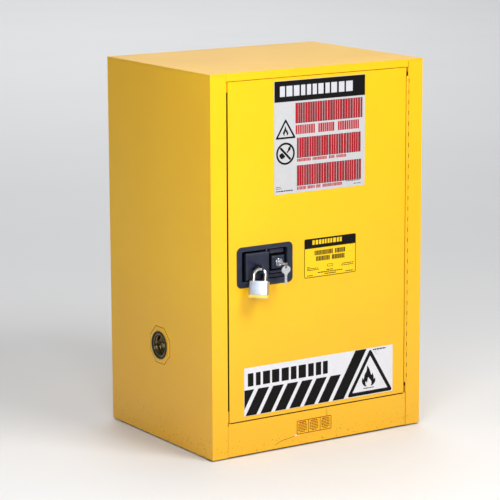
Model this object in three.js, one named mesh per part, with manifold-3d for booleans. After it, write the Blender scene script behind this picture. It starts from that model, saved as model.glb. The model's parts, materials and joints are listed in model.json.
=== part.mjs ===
// Compact double-walled steel safety cabinet with one manual door.
// Millimetres. +Z is up, the front faces -Y, and X runs to the right as seen from the front.
// The origin is on the floor, in the middle of the whole cabinet with its handle hardware.

import * as THREE from 'three';
import { mergeVertices } from 'three/addons/utils/BufferGeometryUtils.js';
import Module from 'manifold-3d';

const wasm = await Module();
wasm.setup();

// ---------------------------------------------------------------- driving dimensions

const WIDTH = 591;
const DEPTH = 457;
const HEIGHT = 889;
const SHEET = 1.2; // 18 gauge steel
const AIR_SPACE = 38; // between the outer and the inner wall
const GAP = 0.3; // between neighbouring pieces
const SET_BACK = 28; // the case sits behind the origin by half of what its hardware stands proud
const FRONT = -DEPTH / 2 + SET_BACK;
const REAR = DEPTH / 2 + SET_BACK;
const LEFT = -WIDTH / 2;
const RIGHT = WIDTH / 2;

const CASE_BOTTOM = 3; // lower edge of the side panels
const STILE = 42; // width of the frame beside the door
const RETURN = 40; // how far the frame turns back into the case
const TOP_RIM = 3.5;
const FASCIA = 18; // height of the frame above the door
const LINER = WIDTH / 2 - SHEET - AIR_SPACE; // half the width across the inner walls
const LINER_REAR = REAR - SHEET - AIR_SPACE;
const LINER_FRONT = FRONT + RETURN + 3;
const LINER_TOP = HEIGHT - SHEET - AIR_SPACE;
const FLOOR = 45.7; // underside of the sump pan
const SILL = 51; // height of the leakproof sill over the sump floor
const SILL_TOP = FLOOR + SHEET + SILL;

const DOOR_LEFT = LEFT + 46.5;
const DOOR_RIGHT = RIGHT - 48;
const DOOR_BOTTOM = 85;
const DOOR_TOP = HEIGHT - 19.5;
const DOOR_DEPTH = 38.2;
const DOOR_BACK = FRONT + DOOR_DEPTH;

const HINGE_X = RIGHT - 45;
const HINGE_Y = FRONT - 1.2;
const HINGE_BOTTOM = 112;
const KNUCKLE = 12.7;
const KNUCKLE_PAIRS = 29;
const BARREL_R = 3;
const PIN_R = 1.1;
const HINGE_LENGTH = KNUCKLE * 2 * KNUCKLE_PAIRS;

const DISH = { left: -228, right: -75, bottom: 396.5, top: 491.5, corner: 12.5 };
const POCKET = { left: -213.5, right: -90.5, bottom: 410, top: 480, corner: 3, depth: 22 };
const DISH_PROUD = 1.6;
const DISH_WALL = 1.6;
const DISH_BACK = FRONT + POCKET.depth + DISH_WALL;

const PIVOT = { x: -143, y: FRONT + 6, r: 2 }; // the paddle turns about this upright pin
const PADDLE = { left: -203, right: -139.5, bottom: 411.5, top: 475, proud: 2.5, thick: 12 };
const EYE = { x: -178, z: 441, out: 21 }; // centre of the padlock's rod in the paddle's eye

const HUB = { x: -152, z: 452, r: 30, thick: 4 };
const ROD_PIN_AT = 24; // distance of the two rod pins from the hub's centre
const BOLT_PIN_AT = 18;
const HUB_PIN_R = 2.5;
const BOLT_SLOT = { front: FRONT + 28.2, back: FRONT + 32.7 }; // in the door's edge and in the frame

const LOCK = { x: -113.5, z: 446.5, box: 35, boxTall: 31, front: FRONT - 1 };
const COLLAR_R = 9.5;
const PLUG_R = 6;

const BODY = { width: 44, tall: 31, thick: 23, bumper: 8 }; // padlock
const SHACKLE = { rod: 3.8, centres: 27, clear: 24 };
const PADLOCK_YAW = THREE.MathUtils.degToRad(-45);
const PADLOCK_LEAN = THREE.MathUtils.degToRad(15);

const VENT = { y: REAR - 228.5, z: 230, hole: 31, lip: 33.5, bore: 28.8, boss: 47, bossOut: 1.5 };
const SHELF = { z: 452, deck: 22, hanger: 30 };
const FOOT = { x: WIDTH / 2 - 30, front: FRONT + 66, rear: REAR - 30, pad: 17, tall: 6 };

// ---------------------------------------------------------------- materials

function paint(color, roughness, metalness) {
  return new THREE.MeshStandardMaterial({ color, roughness, metalness });
}

const yellow = paint(0xfcd01c, 0.35, 0.1);
const galvanized = paint(0xb4b8ba, 0.45, 0.9);
const steel = paint(0x9a9da0, 0.35, 0.95);
const chrome = paint(0xdadde0, 0.12, 1);
const blueBlack = paint(0x2b3048, 0.5, 0.1);
const black = paint(0x1b1b1d, 0.6, 0);
const labelWhite = paint(0xf0f0f2, 0.5, 0);
const labelYellow = paint(0xf5c415, 0.5, 0);
const labelRed = paint(0x9c3a12, 0.5, 0);
const nickel = paint(0xe6e8ea, 0.25, 1);
const bumperYellow = paint(0xf7dc6a, 0.5, 0);
const brass = paint(0xb89a4a, 0.35, 0.9);

// ---------------------------------------------------------------- solids

function toSolid(geometry) {
  geometry.deleteAttribute('normal');
  geometry.deleteAttribute('uv');
  const merged = mergeVertices(geometry, 1e-4);
  const vertProperties = new Float32Array(merged.attributes.position.array);
  const triVerts = new Uint32Array(merged.index.array);
  return new wasm.Manifold(new wasm.Mesh({ numProp: 3, vertProperties, triVerts }));
}

function join(first, ...rest) {
  return rest.reduce((whole, part) => whole.add(part), first);
}

function cut(first, ...tools) {
  return tools.reduce((whole, tool) => whole.subtract(tool), first);
}

function box(x0, x1, y0, y1, z0, z1) {
  const geometry = new THREE.BoxGeometry(x1 - x0, y1 - y0, z1 - z0);
  geometry.translate((x0 + x1) / 2, (y0 + y1) / 2, (z0 + z1) / 2);
  return toSolid(geometry);
}

// An outline carried along one axis. Along z it is drawn in (x, y), along y in (x, z), along x in (y, z).
function prism(axis, outline, from, to) {
  const shape = new THREE.Shape(outline.map(([u, v]) => new THREE.Vector2(u, v)));
  const geometry = new THREE.ExtrudeGeometry(shape, { depth: to - from, bevelEnabled: false });
  const X = new THREE.Vector3(1, 0, 0);
  const Y = new THREE.Vector3(0, 1, 0);
  const Z = new THREE.Vector3(0, 0, 1);
  const place = new THREE.Matrix4();
  if (axis === 'z') place.setPosition(0, 0, from);
  if (axis === 'y') place.makeBasis(X, Z, Y.clone().negate()).setPosition(0, to, 0);
  if (axis === 'x') place.makeBasis(Y, Z, X).setPosition(from, 0, 0);
  geometry.applyMatrix4(place);
  return toSolid(geometry);
}

function arc(u, v, radius, from, to, steps) {
  return Array.from({ length: steps + 1 }, (_, i) => {
    const a = from + ((to - from) * i) / steps;
    return [u + radius * Math.cos(a), v + radius * Math.sin(a)];
  });
}

function circle(u, v, radius, sides) {
  return arc(u, v, radius, Math.PI / sides, Math.PI * 2 + Math.PI / sides, sides).slice(0, -1);
}

function rounded(left, right, bottom, top, radius, steps = 3) {
  const q = Math.PI / 2;
  return [
    ...arc(right - radius, bottom + radius, radius, -q, 0, steps),
    ...arc(right - radius, top - radius, radius, 0, q, steps),
    ...arc(left + radius, top - radius, radius, q, 2 * q, steps),
    ...arc(left + radius, bottom + radius, radius, 2 * q, 3 * q, steps),
  ];
}

function rod(axis, u, v, radius, from, to, sides = 12) {
  return prism(axis, circle(u, v, radius, sides), from, to);
}

const cabinet = new THREE.Group();

function add(name, solid, material) {
  const { vertProperties, triVerts } = solid.getMesh();
  const geometry = new THREE.BufferGeometry();
  geometry.setAttribute('position', new THREE.BufferAttribute(vertProperties, 3));
  geometry.setIndex(new THREE.BufferAttribute(triVerts, 1));
  geometry.computeVertexNormals();
  const mesh = new THREE.Mesh(geometry, material);
  mesh.name = name;
  cabinet.add(mesh);
}

// ---------------------------------------------------------------- outer case

// side is -1 for the left panel and 1 for the right panel
function sidePanel(side) {
  const x = (inset) => side * (RIGHT - inset);
  const section = [
    [x(0), FRONT],
    [x(STILE), FRONT],
    [x(STILE), FRONT + RETURN],
    [x(STILE - SHEET), FRONT + RETURN],
    [x(STILE - SHEET), FRONT + SHEET],
    [x(SHEET), FRONT + SHEET],
    [x(SHEET), REAR],
    [x(0), REAR],
  ];
  const sheet = prism('z', section, CASE_BOTTOM, HEIGHT - TOP_RIM - GAP);
  const boss = new THREE.CylinderGeometry(VENT.boss - 2, VENT.boss, VENT.bossOut, 8);
  boss.rotateY(Math.PI / 8);
  boss.rotateZ((-side * Math.PI) / 2);
  boss.translate(side * (RIGHT + VENT.bossOut / 2 - 0.01), VENT.y, VENT.z);
  const hole = rod('x', VENT.y, VENT.z, VENT.hole + GAP, RIGHT - 10, RIGHT + 10, 20);
  const placed = side > 0 ? hole : hole.mirror([1, 0, 0]);
  return cut(join(sheet, toSolid(boss)), placed);
}

const boltSlot = box(
  LEFT + STILE - 4,
  LEFT + STILE + 4,
  BOLT_SLOT.front,
  BOLT_SLOT.back,
  HUB.z + BOLT_PIN_AT - 8,
  HUB.z + BOLT_PIN_AT + 8,
);
add('left_side_panel', cut(sidePanel(-1), boltSlot), yellow);
add('right_side_panel', sidePanel(1), yellow);

const UPPER_ROD_X = HUB.x + ROD_PIN_AT;
const LOWER_ROD_X = HUB.x - ROD_PIN_AT;
const ROD_Y = FRONT + 32.5;

function topPanel() {
  const inner = WIDTH / 2 - STILE - GAP;
  const plate = box(LEFT, RIGHT, FRONT, REAR, HEIGHT - TOP_RIM, HEIGHT);
  const hollow = box(
    LEFT + SHEET,
    RIGHT - SHEET,
    FRONT + SHEET,
    REAR - SHEET,
    HEIGHT - TOP_RIM - 1,
    HEIGHT - SHEET,
  );
  const low = HEIGHT - FASCIA;
  const fascia = [
    [FRONT, HEIGHT - TOP_RIM + 0.5],
    [FRONT, low],
    [FRONT + RETURN, low],
    [FRONT + RETURN, low + SHEET],
    [FRONT + SHEET, low + SHEET],
    [FRONT + SHEET, HEIGHT - TOP_RIM + 0.5],
  ];
  const strike = rod('z', UPPER_ROD_X, ROD_Y, 4.6, low - 1, low + 3);
  return cut(join(cut(plate, hollow), prism('x', fascia, -inner, inner)), strike);
}

add('top_panel', topPanel(), yellow);

const INSIDE = WIDTH / 2 - SHEET - GAP;
const BOTTOM_SHEET = 6.5;
const FEET = [
  ['front_left', -FOOT.x, FOOT.front],
  ['front_right', FOOT.x, FOOT.front],
  ['rear_left', -FOOT.x, FOOT.rear],
  ['rear_right', FOOT.x, FOOT.rear],
];
const footHoles = FEET.map(([, x, y]) => rod('z', x, y, 5.5, 0, 20));
const bottom = box(-INSIDE, INSIDE, LINER_FRONT + 2, REAR - SHEET - GAP, BOTTOM_SHEET, BOTTOM_SHEET + SHEET);
add('bottom_panel', cut(bottom, ...footHoles), yellow);
add('back_panel', box(-INSIDE, INSIDE, REAR - SHEET, REAR, CASE_BOTTOM, HEIGHT - TOP_RIM - GAP), yellow);

function sillRail() {
  const inner = WIDTH / 2 - STILE - GAP;
  const top = DOOR_BOTTOM - 1.5;
  const section = [
    [FRONT, CASE_BOTTOM + 1],
    [FRONT + SHEET, CASE_BOTTOM + 1],
    [FRONT + SHEET, top - SHEET],
    [FRONT + RETURN, top - SHEET],
    [FRONT + RETURN, top],
    [FRONT, top],
  ];
  const strike = rod('z', LOWER_ROD_X, ROD_Y, 4.6, top - 3, top + 1);
  return cut(prism('x', section, -inner, inner), strike);
}

add('front_sill_rail', sillRail(), yellow);

// The flat frame that the closed door rests against, between the outer frame and the inner walls.
function doorStop() {
  const y = FRONT + RETURN + GAP;
  const outer = WIDTH / 2 - STILE + 6;
  const frame = box(-outer, outer, y, y + SHEET, 60, HEIGHT - FASCIA + 6);
  return cut(frame, box(-outer + 24, outer - 24, y - 1, y + 4, SILL_TOP, LINER_TOP));
}

add('door_stop_frame', doorStop(), yellow);

// ---------------------------------------------------------------- inner walls and sump

const LINER_LOW = FLOOR;
const LINER_HIGH = LINER_TOP - GAP;

function sideLiner(side) {
  const from = side > 0 ? LINER : -LINER;
  const sheet = box(
    Math.min(from, from - side * SHEET),
    Math.max(from, from - side * SHEET),
    LINER_FRONT,
    LINER_REAR,
    LINER_LOW,
    LINER_HIGH,
  );
  const hole = rod('x', VENT.y, VENT.z, VENT.hole + GAP, LINER - 10, LINER + 10, 20);
  return cut(sheet, side > 0 ? hole : hole.mirror([1, 0, 0]));
}

const CAVITY = LINER - SHEET - GAP;
add('left_liner', sideLiner(-1), yellow);
add('right_liner', sideLiner(1), yellow);
add('top_liner', box(-LINER, LINER, LINER_FRONT, LINER_REAR, LINER_TOP, LINER_TOP + SHEET), yellow);
add('back_liner', box(-CAVITY, CAVITY, LINER_REAR - SHEET, LINER_REAR, LINER_LOW, LINER_HIGH), yellow);

function sumpPan() {
  const rear = LINER_REAR - SHEET - GAP;
  const pan = box(-CAVITY, CAVITY, LINER_FRONT, rear, FLOOR, SILL_TOP - GAP);
  const inside = box(
    -CAVITY + SHEET,
    CAVITY - SHEET,
    LINER_FRONT + SHEET,
    rear - SHEET,
    FLOOR + SHEET,
    SILL_TOP + 1,
  );
  return cut(pan, inside);
}

add('sump_pan', sumpPan(), yellow);

// ---------------------------------------------------------------- shelf and hangers

function shelf() {
  const half = CAVITY - 4;
  const y0 = LINER_FRONT + 12;
  const y1 = LINER_REAR - 8;
  const tray = box(-half, half, y0, y1, SHELF.z - SHELF.deck, SHELF.z);
  const under = box(
    -half + SHEET,
    half - SHEET,
    y0 + SHEET,
    y1 - SHEET,
    SHELF.z - SHELF.deck - 1,
    SHELF.z - SHEET,
  );
  return cut(tray, under);
}

add('shelf', shelf(), galvanized);

function hanger(side, y) {
  const wall = CAVITY;
  const low = SHELF.z - SHELF.deck - 12;
  const section = [
    [side * wall, low],
    [side * wall, low + 30],
    [side * (wall - 2), low + 30],
    [side * (wall - 2), low + 12 - GAP],
    [side * (wall - 15), low + 12 - GAP],
    [side * (wall - 15), low + 10],
    [side * (wall - 2), low + 2],
    [side * (wall - 2), low],
  ];
  return prism('y', section, y - SHELF.hanger / 2, y + SHELF.hanger / 2);
}

add('shelf_hanger_front_left', hanger(-1, FRONT + 120), galvanized);
add('shelf_hanger_front_right', hanger(1, FRONT + 120), galvanized);
add('shelf_hanger_rear_left', hanger(-1, REAR - 110), galvanized);
add('shelf_hanger_rear_right', hanger(1, REAR - 110), galvanized);

// ---------------------------------------------------------------- vents

// Builds a piece of a vent for the right side; the left side is its mirror image.
function ventPieces(side, word) {
  const flip = (solid) => (side > 0 ? solid : solid.mirror([1, 0, 0]));
  const face = RIGHT + VENT.bossOut + GAP;
  const bore = rod('x', VENT.y, VENT.z, VENT.bore, LINER - 20, RIGHT + 20, 20);
  const lip = rod('x', VENT.y, VENT.z, VENT.lip, face, face + 3, 20);
  const tube = rod('x', VENT.y, VENT.z, VENT.hole, LINER - 4, face + 1, 20);
  const stop = cut(
    rod('x', VENT.y, VENT.z, VENT.bore + 1, LINER + 8, LINER + 10, 20),
    rod('x', VENT.y, VENT.z, VENT.bore - 4, LINER, LINER + 20, 20),
  );
  add(`vent_flange_${word}`, flip(join(cut(join(lip, tube), bore), stop)), black);
  const screen = rod('x', VENT.y, VENT.z, VENT.bore - 1, LINER + 5, LINER + 8 - GAP, 16);
  add(`flame_arrester_${word}`, flip(screen), brass);
  const cap = rod('x', VENT.y, VENT.z, VENT.bore - 2 * GAP, LINER + 10 + GAP, RIGHT + 3, 20);
  const well = rod('x', VENT.y, VENT.z, VENT.bore - 5, LINER + 26, RIGHT + 9, 16);
  const bar = box(LINER + 25, RIGHT, VENT.y - VENT.bore + 4, VENT.y + VENT.bore - 4, VENT.z - 4, VENT.z + 4);
  add(`vent_cap_${word}`, flip(join(cut(cap, well), bar)), steel);
}

ventPieces(-1, 'left');
ventPieces(1, 'right');

// ---------------------------------------------------------------- feet and earth screw

for (const [word, x, y] of FEET) {
  const pad = rod('z', x, y, FOOT.pad, 0, FOOT.tall, 16);
  const stud = rod('z', x, y, 4, FOOT.tall - 1, FLOOR - 6, 10);
  add(`levelling_foot_${word}`, join(pad, stud), steel);
}

const SCREW = { y: REAR - 40, z: 60 };
const screwHead = prism('x', circle(SCREW.y, SCREW.z, 7, 6), RIGHT + GAP, RIGHT + 5);
add('earth_screw', screwHead, brass);

// ---------------------------------------------------------------- piano hinge

// side is 1 for the frame's leaf, to the right of the pin, and -1 for the door's. A leaf is a strip with
// teeth, and each tooth carries an eight-sided knuckle. The teeth are a little shorter than the knuckles.
const LEAF_OUT = BARREL_R * Math.cos(Math.PI / 8) - 0.1;
const LEAF_DEPTH = 26;
const NOTCH = BARREL_R + 0.4;

function hingeLeaf(side) {
  const faces = [HINGE_X + side * (LEAF_OUT - SHEET), HINGE_X + side * LEAF_OUT].sort((a, b) => a - b);
  const top = HINGE_BOTTOM + HINGE_LENGTH;
  let leaf = box(...faces, HINGE_Y + 0.5, HINGE_Y + LEAF_DEPTH, HINGE_BOTTOM, top);
  const own = side > 0 ? 0 : 1;
  for (let i = 1 - own; i < 2 * KNUCKLE_PAIRS; i += 2) {
    const z0 = HINGE_BOTTOM + i * KNUCKLE - GAP;
    const notch = box(HINGE_X - 9, HINGE_X + 9, HINGE_Y - 1, HINGE_Y + NOTCH, z0, z0 + KNUCKLE + 2 * GAP);
    leaf = cut(leaf, notch);
  }
  for (let i = own; i < 2 * KNUCKLE_PAIRS; i += 2) {
    const z0 = HINGE_BOTTOM + i * KNUCKLE + GAP / 2;
    const barrel = rod('z', HINGE_X, HINGE_Y, BARREL_R, z0, z0 + KNUCKLE - GAP, 8);
    leaf = join(leaf, barrel);
  }
  return cut(leaf, rod('z', HINGE_X, HINGE_Y, PIN_R + 0.35, 0, HEIGHT, 6));
}

add('hinge_frame_leaf', hingeLeaf(1), yellow);
add('hinge_door_leaf', hingeLeaf(-1), yellow);
add('hinge_pin', rod('z', HINGE_X, HINGE_Y, PIN_R, HINGE_BOTTOM - 2, HINGE_BOTTOM + HINGE_LENGTH + 1, 6), steel);

// ---------------------------------------------------------------- door

function rodHole(x, z) {
  return rod('z', x, ROD_Y, 4.6, z - 3, z + 3);
}

function doorOuter() {
  const shell = box(DOOR_LEFT, DOOR_RIGHT, FRONT, DOOR_BACK - SHEET - GAP, DOOR_BOTTOM, DOOR_TOP);
  const inside = box(
    DOOR_LEFT + SHEET,
    DOOR_RIGHT - SHEET,
    FRONT + SHEET,
    DOOR_BACK + 5,
    DOOR_BOTTOM + SHEET,
    DOOR_TOP - SHEET,
  );
  const m = DISH_WALL + GAP;
  const opening = box(
    POCKET.left - m,
    POCKET.right + m,
    FRONT - 5,
    FRONT + 5,
    POCKET.bottom - m,
    POCKET.top + m,
  );
  const bolt = box(
    DOOR_LEFT - 2,
    DOOR_LEFT + 2,
    BOLT_SLOT.front,
    BOLT_SLOT.back,
    HUB.z + BOLT_PIN_AT - 8,
    HUB.z + BOLT_PIN_AT + 8,
  );
  return cut(
    shell,
    inside,
    opening,
    bolt,
    rodHole(UPPER_ROD_X, DOOR_TOP),
    rodHole(LOWER_ROD_X, DOOR_BOTTOM),
  );
}

add('door_outer_panel', doorOuter(), yellow);

const HATCH = { left: -222, right: -82, bottom: 392, top: 512 };

function doorInner() {
  const sheet = box(
    DOOR_LEFT,
    DOOR_RIGHT,
    DOOR_BACK - SHEET,
    DOOR_BACK,
    DOOR_BOTTOM,
    DOOR_TOP,
  );
  const hatch = box(HATCH.left, HATCH.right, FRONT, DOOR_BACK + 5, HATCH.bottom, HATCH.top);
  return cut(sheet, hatch);
}

add('door_inner_panel', doorInner(), yellow);

// The cover sits in the hatch of the inner panel, flush with it.
add(
  'latch_cover',
  box(
    HATCH.left + GAP,
    HATCH.right - GAP,
    DOOR_BACK - SHEET,
    DOOR_BACK,
    HATCH.bottom + GAP,
    HATCH.top - GAP,
  ),
  galvanized,
);

// ---------------------------------------------------------------- handle dish and paddle

function dish() {
  const face = FRONT - GAP;
  const rim = rounded(DISH.left, DISH.right, DISH.bottom, DISH.top, DISH.corner, 5);
  const w = DISH_WALL;
  const outer = rounded(
    POCKET.left - w,
    POCKET.right + w,
    POCKET.bottom - w,
    POCKET.top + w,
    POCKET.corner + w,
    2,
  );
  const inner = rounded(POCKET.left, POCKET.right, POCKET.bottom, POCKET.top, POCKET.corner, 2);
  const tub = cut(
    join(prism('y', rim, face - DISH_PROUD, face), prism('y', outer, face - 0.5, DISH_BACK)),
    prism('y', inner, FRONT - 9, DISH_BACK - w),
  );
  const tailSlot = box(PIVOT.x - 20, PIVOT.x + 8, FRONT + 18, FRONT + 30, HUB.z - 30, HUB.z - 14);
  const pinHoles = rod('z', PIVOT.x, PIVOT.y, PIVOT.r + 0.05, DISH.bottom, DISH.top, 10);
  const hubHole = rod('y', HUB.x, HUB.z, 3.4, FRONT + 18, FRONT + 30);
  return cut(tub, tailSlot, pinHoles, hubHole);
}

add('handle_dish', dish(), blueBlack);
add('paddle_pin', rod('z', PIVOT.x, PIVOT.y, PIVOT.r - 0.3, POCKET.bottom - 5, POCKET.top + 5, 10), steel);

const PADDLE_FRONT = FRONT - PADDLE.proud;
const SPRING = { bottom: 449, top: 463, r: 3.6, wire: 0.6, turns: 4 };

function paddle() {
  const back = PADDLE_FRONT + PADDLE.thick;
  const bevel = 3;
  const side = [
    [PADDLE.left, back],
    [PADDLE.left, PADDLE_FRONT + bevel],
    [PADDLE.left + bevel, PADDLE_FRONT],
    [PADDLE.right - bevel, PADDLE_FRONT],
    [PADDLE.right, PADDLE_FRONT + bevel],
    [PADDLE.right, back],
  ];
  const upright = [
    [back, PADDLE.bottom],
    [PADDLE_FRONT + bevel, PADDLE.bottom],
    [PADDLE_FRONT, PADDLE.bottom + bevel],
    [PADDLE_FRONT, PADDLE.top - bevel],
    [PADDLE_FRONT + bevel, PADDLE.top],
    [back, PADDLE.top],
  ];
  const block = prism('z', side, PADDLE.bottom, PADDLE.top).intersect(
    prism('x', upright, PADDLE.left, PADDLE.right),
  );
  // arched pocket, open at the bottom, with the padlock's eye standing in its middle
  const r = 21;
  const arch = [
    [EYE.x - r, PADDLE.bottom - 5],
    [EYE.x + r, PADDLE.bottom - 5],
    ...arc(EYE.x, PADDLE.bottom + 10, r, 0, Math.PI, 8),
  ];
  const pocket = prism('y', arch, FRONT - 9, back - 3);
  const eye = rounded(FRONT - EYE.out - 12.5, back - 2, EYE.z - 9, EYE.z + 10, 6);
  const hole = rounded(FRONT - EYE.out - 9, FRONT - EYE.out + 7.4, EYE.z - 6, EYE.z + 5, 2);
  const tab = cut(prism('x', eye, EYE.x - 1.5, EYE.x + 1.5), prism('x', hole, EYE.x - 5, EYE.x + 5));
  const springRoom = box(
    PIVOT.x - 6,
    PADDLE.right + 1,
    PIVOT.y - 5.2,
    back + 1,
    SPRING.bottom - 2,
    SPRING.top + 2,
  );
  const tail = box(PIVOT.x - 2, PIVOT.x + 2, back - 1, FRONT + 29, HUB.z - 28, HUB.z - 22);
  const bore = rod('z', PIVOT.x, PIVOT.y, PIVOT.r + 0.1, PADDLE.bottom - 5, PADDLE.top + 5, 10);
  return cut(join(cut(block, pocket), tab, tail), springRoom, bore);
}

add('paddle', paddle(), blueBlack);

// A torsion spring round the pin.
class Helix extends THREE.Curve {
  getPoint(t, target = new THREE.Vector3()) {
    const a = t * SPRING.turns * Math.PI * 2;
    const z = SPRING.bottom + (SPRING.top - SPRING.bottom) * t;
    return target.set(PIVOT.x + SPRING.r * Math.cos(a), PIVOT.y + SPRING.r * Math.sin(a), z);
  }
}

const wire = new THREE.Shape(circle(0, 0, SPRING.wire, 5).map(([u, v]) => new THREE.Vector2(u, v)));
add(
  'paddle_spring',
  toSolid(new THREE.ExtrudeGeometry(wire, { steps: SPRING.turns * 9, extrudePath: new Helix() })),
  steel,
);

// ---------------------------------------------------------------- latch behind the dish

const HUB_Y = DISH_BACK + 1.2;
const PIN_TIP = FRONT + 36;

// The hub carries the two rod pins, the bolt pin and, at its lower edge, the lug that the paddle's tail pushes.
function hub() {
  const disc = rod('y', HUB.x, HUB.z, HUB.r, HUB_Y, HUB_Y + HUB.thick, 20);
  const tailRoom = box(HUB.x - 14, HUB.x + 26, HUB_Y - 1, HUB_Y + 9, HUB.z - 33, HUB.z - 13);
  const lug = box(HUB.x - 1, PIVOT.x - 3.6, HUB_Y, HUB_Y + HUB.thick, HUB.z - 26, HUB.z - 8);
  const pins = [
    [ROD_PIN_AT, 0],
    [-ROD_PIN_AT, 0],
    [0, BOLT_PIN_AT],
  ].map(([dx, dz]) => rod('y', HUB.x + dx, HUB.z + dz, HUB_PIN_R, HUB_Y + 1, PIN_TIP, 10));
  const bore = rod('y', HUB.x, HUB.z, 3.4, HUB_Y - 1, HUB_Y + 9);
  return cut(join(cut(disc, tailRoom), lug, ...pins), bore);
}

add('latch_hub', hub(), steel);

const boltHead = rod('y', HUB.x, HUB.z, 6, HUB_Y + HUB.thick + GAP, HUB_Y + HUB.thick + 3, 6);
add(
  'hub_bolt',
  join(rod('y', HUB.x, HUB.z, 3, DISH_BACK - 5, HUB_Y + HUB.thick + 1), boltHead),
  steel,
);

// A rod with a slotted head round its hub pin. up is 1 for the upper rod and -1 for the lower one.
function latchRod(x, up, end) {
  const start = HUB.z + up * 8;
  const bar = rod('z', x, ROD_Y, 4, Math.min(start, end), Math.max(start, end), 8);
  const inward = x > HUB.x ? -1 : 1;
  const headX = [x + inward * 11, x - inward * 7].sort((a, b) => a - b);
  const headZ = [HUB.z - up * 7, HUB.z + up * 11].sort((a, b) => a - b);
  const slotX = [x + inward * 7, x - inward * 3.2].sort((a, b) => a - b);
  const slotHalf = HUB_PIN_R + 0.6;
  const head = box(...headX, ROD_Y - 0.5, ROD_Y + 2.5, ...headZ);
  const slot = box(...slotX, ROD_Y - 5, ROD_Y + 5, HUB.z - slotHalf, HUB.z + slotHalf);
  return cut(join(bar, head), slot);
}

add('upper_latch_rod', latchRod(UPPER_ROD_X, 1, DOOR_TOP + 9), steel);
add('lower_latch_rod', latchRod(LOWER_ROD_X, -1, DOOR_BOTTOM - 9), steel);

// The bolt is a flat bar with a wider slotted head round its hub pin.
function sideBolt() {
  const z = HUB.z + BOLT_PIN_AT;
  const y0 = ROD_Y - 3.3;
  const y1 = ROD_Y - 0.8;
  const bar = box(DOOR_LEFT - 9.5, HUB.x - 6, y0, y1, z - 2.8, z + 6.5);
  const head = box(HUB.x - 8, HUB.x + 6.5, y0, y1, z - 7.5, z + 6.5);
  const slot = box(HUB.x - 3, HUB.x + 3, y0 - 1, y1 + 1, z - 5.3, z + 3.2);
  return cut(join(bar, head), slot);
}

add('side_latch_bolt', sideBolt(), steel);

// Guides screwed inside the door hold the rods in line.
function rodGuide(x, z) {
  const plate = box(x - 16, x + 16, FRONT + 22, DOOR_BACK - SHEET - GAP - 0.3, z - 5, z + 5);
  return cut(plate, rod('z', x, ROD_Y, 4.5, z - 9, z + 9, 12));
}

add('upper_rod_guide', rodGuide(UPPER_ROD_X, 700), black);
add('lower_rod_guide', rodGuide(LOWER_ROD_X, 230), black);

// ---------------------------------------------------------------- lock and keys

const lockLeft = LOCK.x - LOCK.box / 2;
const lockLow = LOCK.z - LOCK.boxTall / 2;
const pocketFloor = DISH_BACK - DISH_WALL;

function lockHousing() {
  const block = box(
    lockLeft,
    lockLeft + LOCK.box,
    LOCK.front,
    pocketFloor - GAP,
    lockLow,
    lockLow + LOCK.boxTall,
  );
  return cut(block, rod('y', LOCK.x, LOCK.z, PLUG_R + 0.4, FRONT - 9, pocketFloor + 1, 16));
}

add('lock_housing', lockHousing(), blueBlack);
const collar = rod('y', LOCK.x, LOCK.z, COLLAR_R, LOCK.front - 2.6, LOCK.front - GAP, 20);
const collarBore = rod('y', LOCK.x, LOCK.z, PLUG_R + 0.4, LOCK.front - 5, LOCK.front + 5, 16);
add('lock_collar', cut(collar, collarBore), chrome);

const KEY_OUT = LOCK.front - 3.6; // front face of the plug
const plug = rod('y', LOCK.x, LOCK.z, PLUG_R, KEY_OUT, pocketFloor - 1, 16);
const keyway = box(LOCK.x - 4.4, LOCK.x + 4.4, KEY_OUT - 2, KEY_OUT + 12, LOCK.z - 1.2, LOCK.z + 1.2);
add('lock_plug', cut(plug, keyway), chrome);

// The key lies level in the keyway; the ring hangs from the rim of its bow.
const BOW = { y: KEY_OUT - 15, r: 9.5, hole: 3.6, shift: 3.4 };

function insertedKey() {
  const z0 = LOCK.z - 0.9;
  const z1 = LOCK.z + 0.9;
  const blade = box(LOCK.x - 3.6, LOCK.x + 3.6, BOW.y, KEY_OUT + 11, z0, z1);
  const bow = rod('z', LOCK.x, BOW.y, BOW.r, z0, z1, 16);
  const hole = rod('z', LOCK.x, BOW.y - BOW.shift, BOW.hole, z0 - 1, z1 + 1, 10);
  return cut(join(bow, blade), hole);
}

add('inserted_key', insertedKey(), nickel);

// The ring stands in the plane x = LOCK.x and passes down through the hole in the bow.
const RING = { r: 5.5, wire: 0.7, forward: 2.15, down: 1.9 }; // its centre, from the middle of the rim
const ringY = BOW.y - BOW.r + 1.25 - RING.forward;
const ringZ = LOCK.z - RING.down;

function keyRing() {
  const section = circle(RING.r, 0, RING.wire, 6).map(([u, v]) => new THREE.Vector2(u, v));
  const lathe = new THREE.LatheGeometry([...section, section[0]], 20);
  lathe.rotateZ(Math.PI / 2);
  lathe.translate(LOCK.x, ringY, ringZ);
  return toSolid(lathe);
}

add('key_ring', keyRing(), steel);

const SPARE = { bow: 9.5, blade: 3.6, length: 25, thick: 1.8, hole: 2.4 };
const spareHoleZ = ringZ - RING.r;
const spareZ = spareHoleZ - SPARE.bow + SPARE.hole + 1.6;

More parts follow.
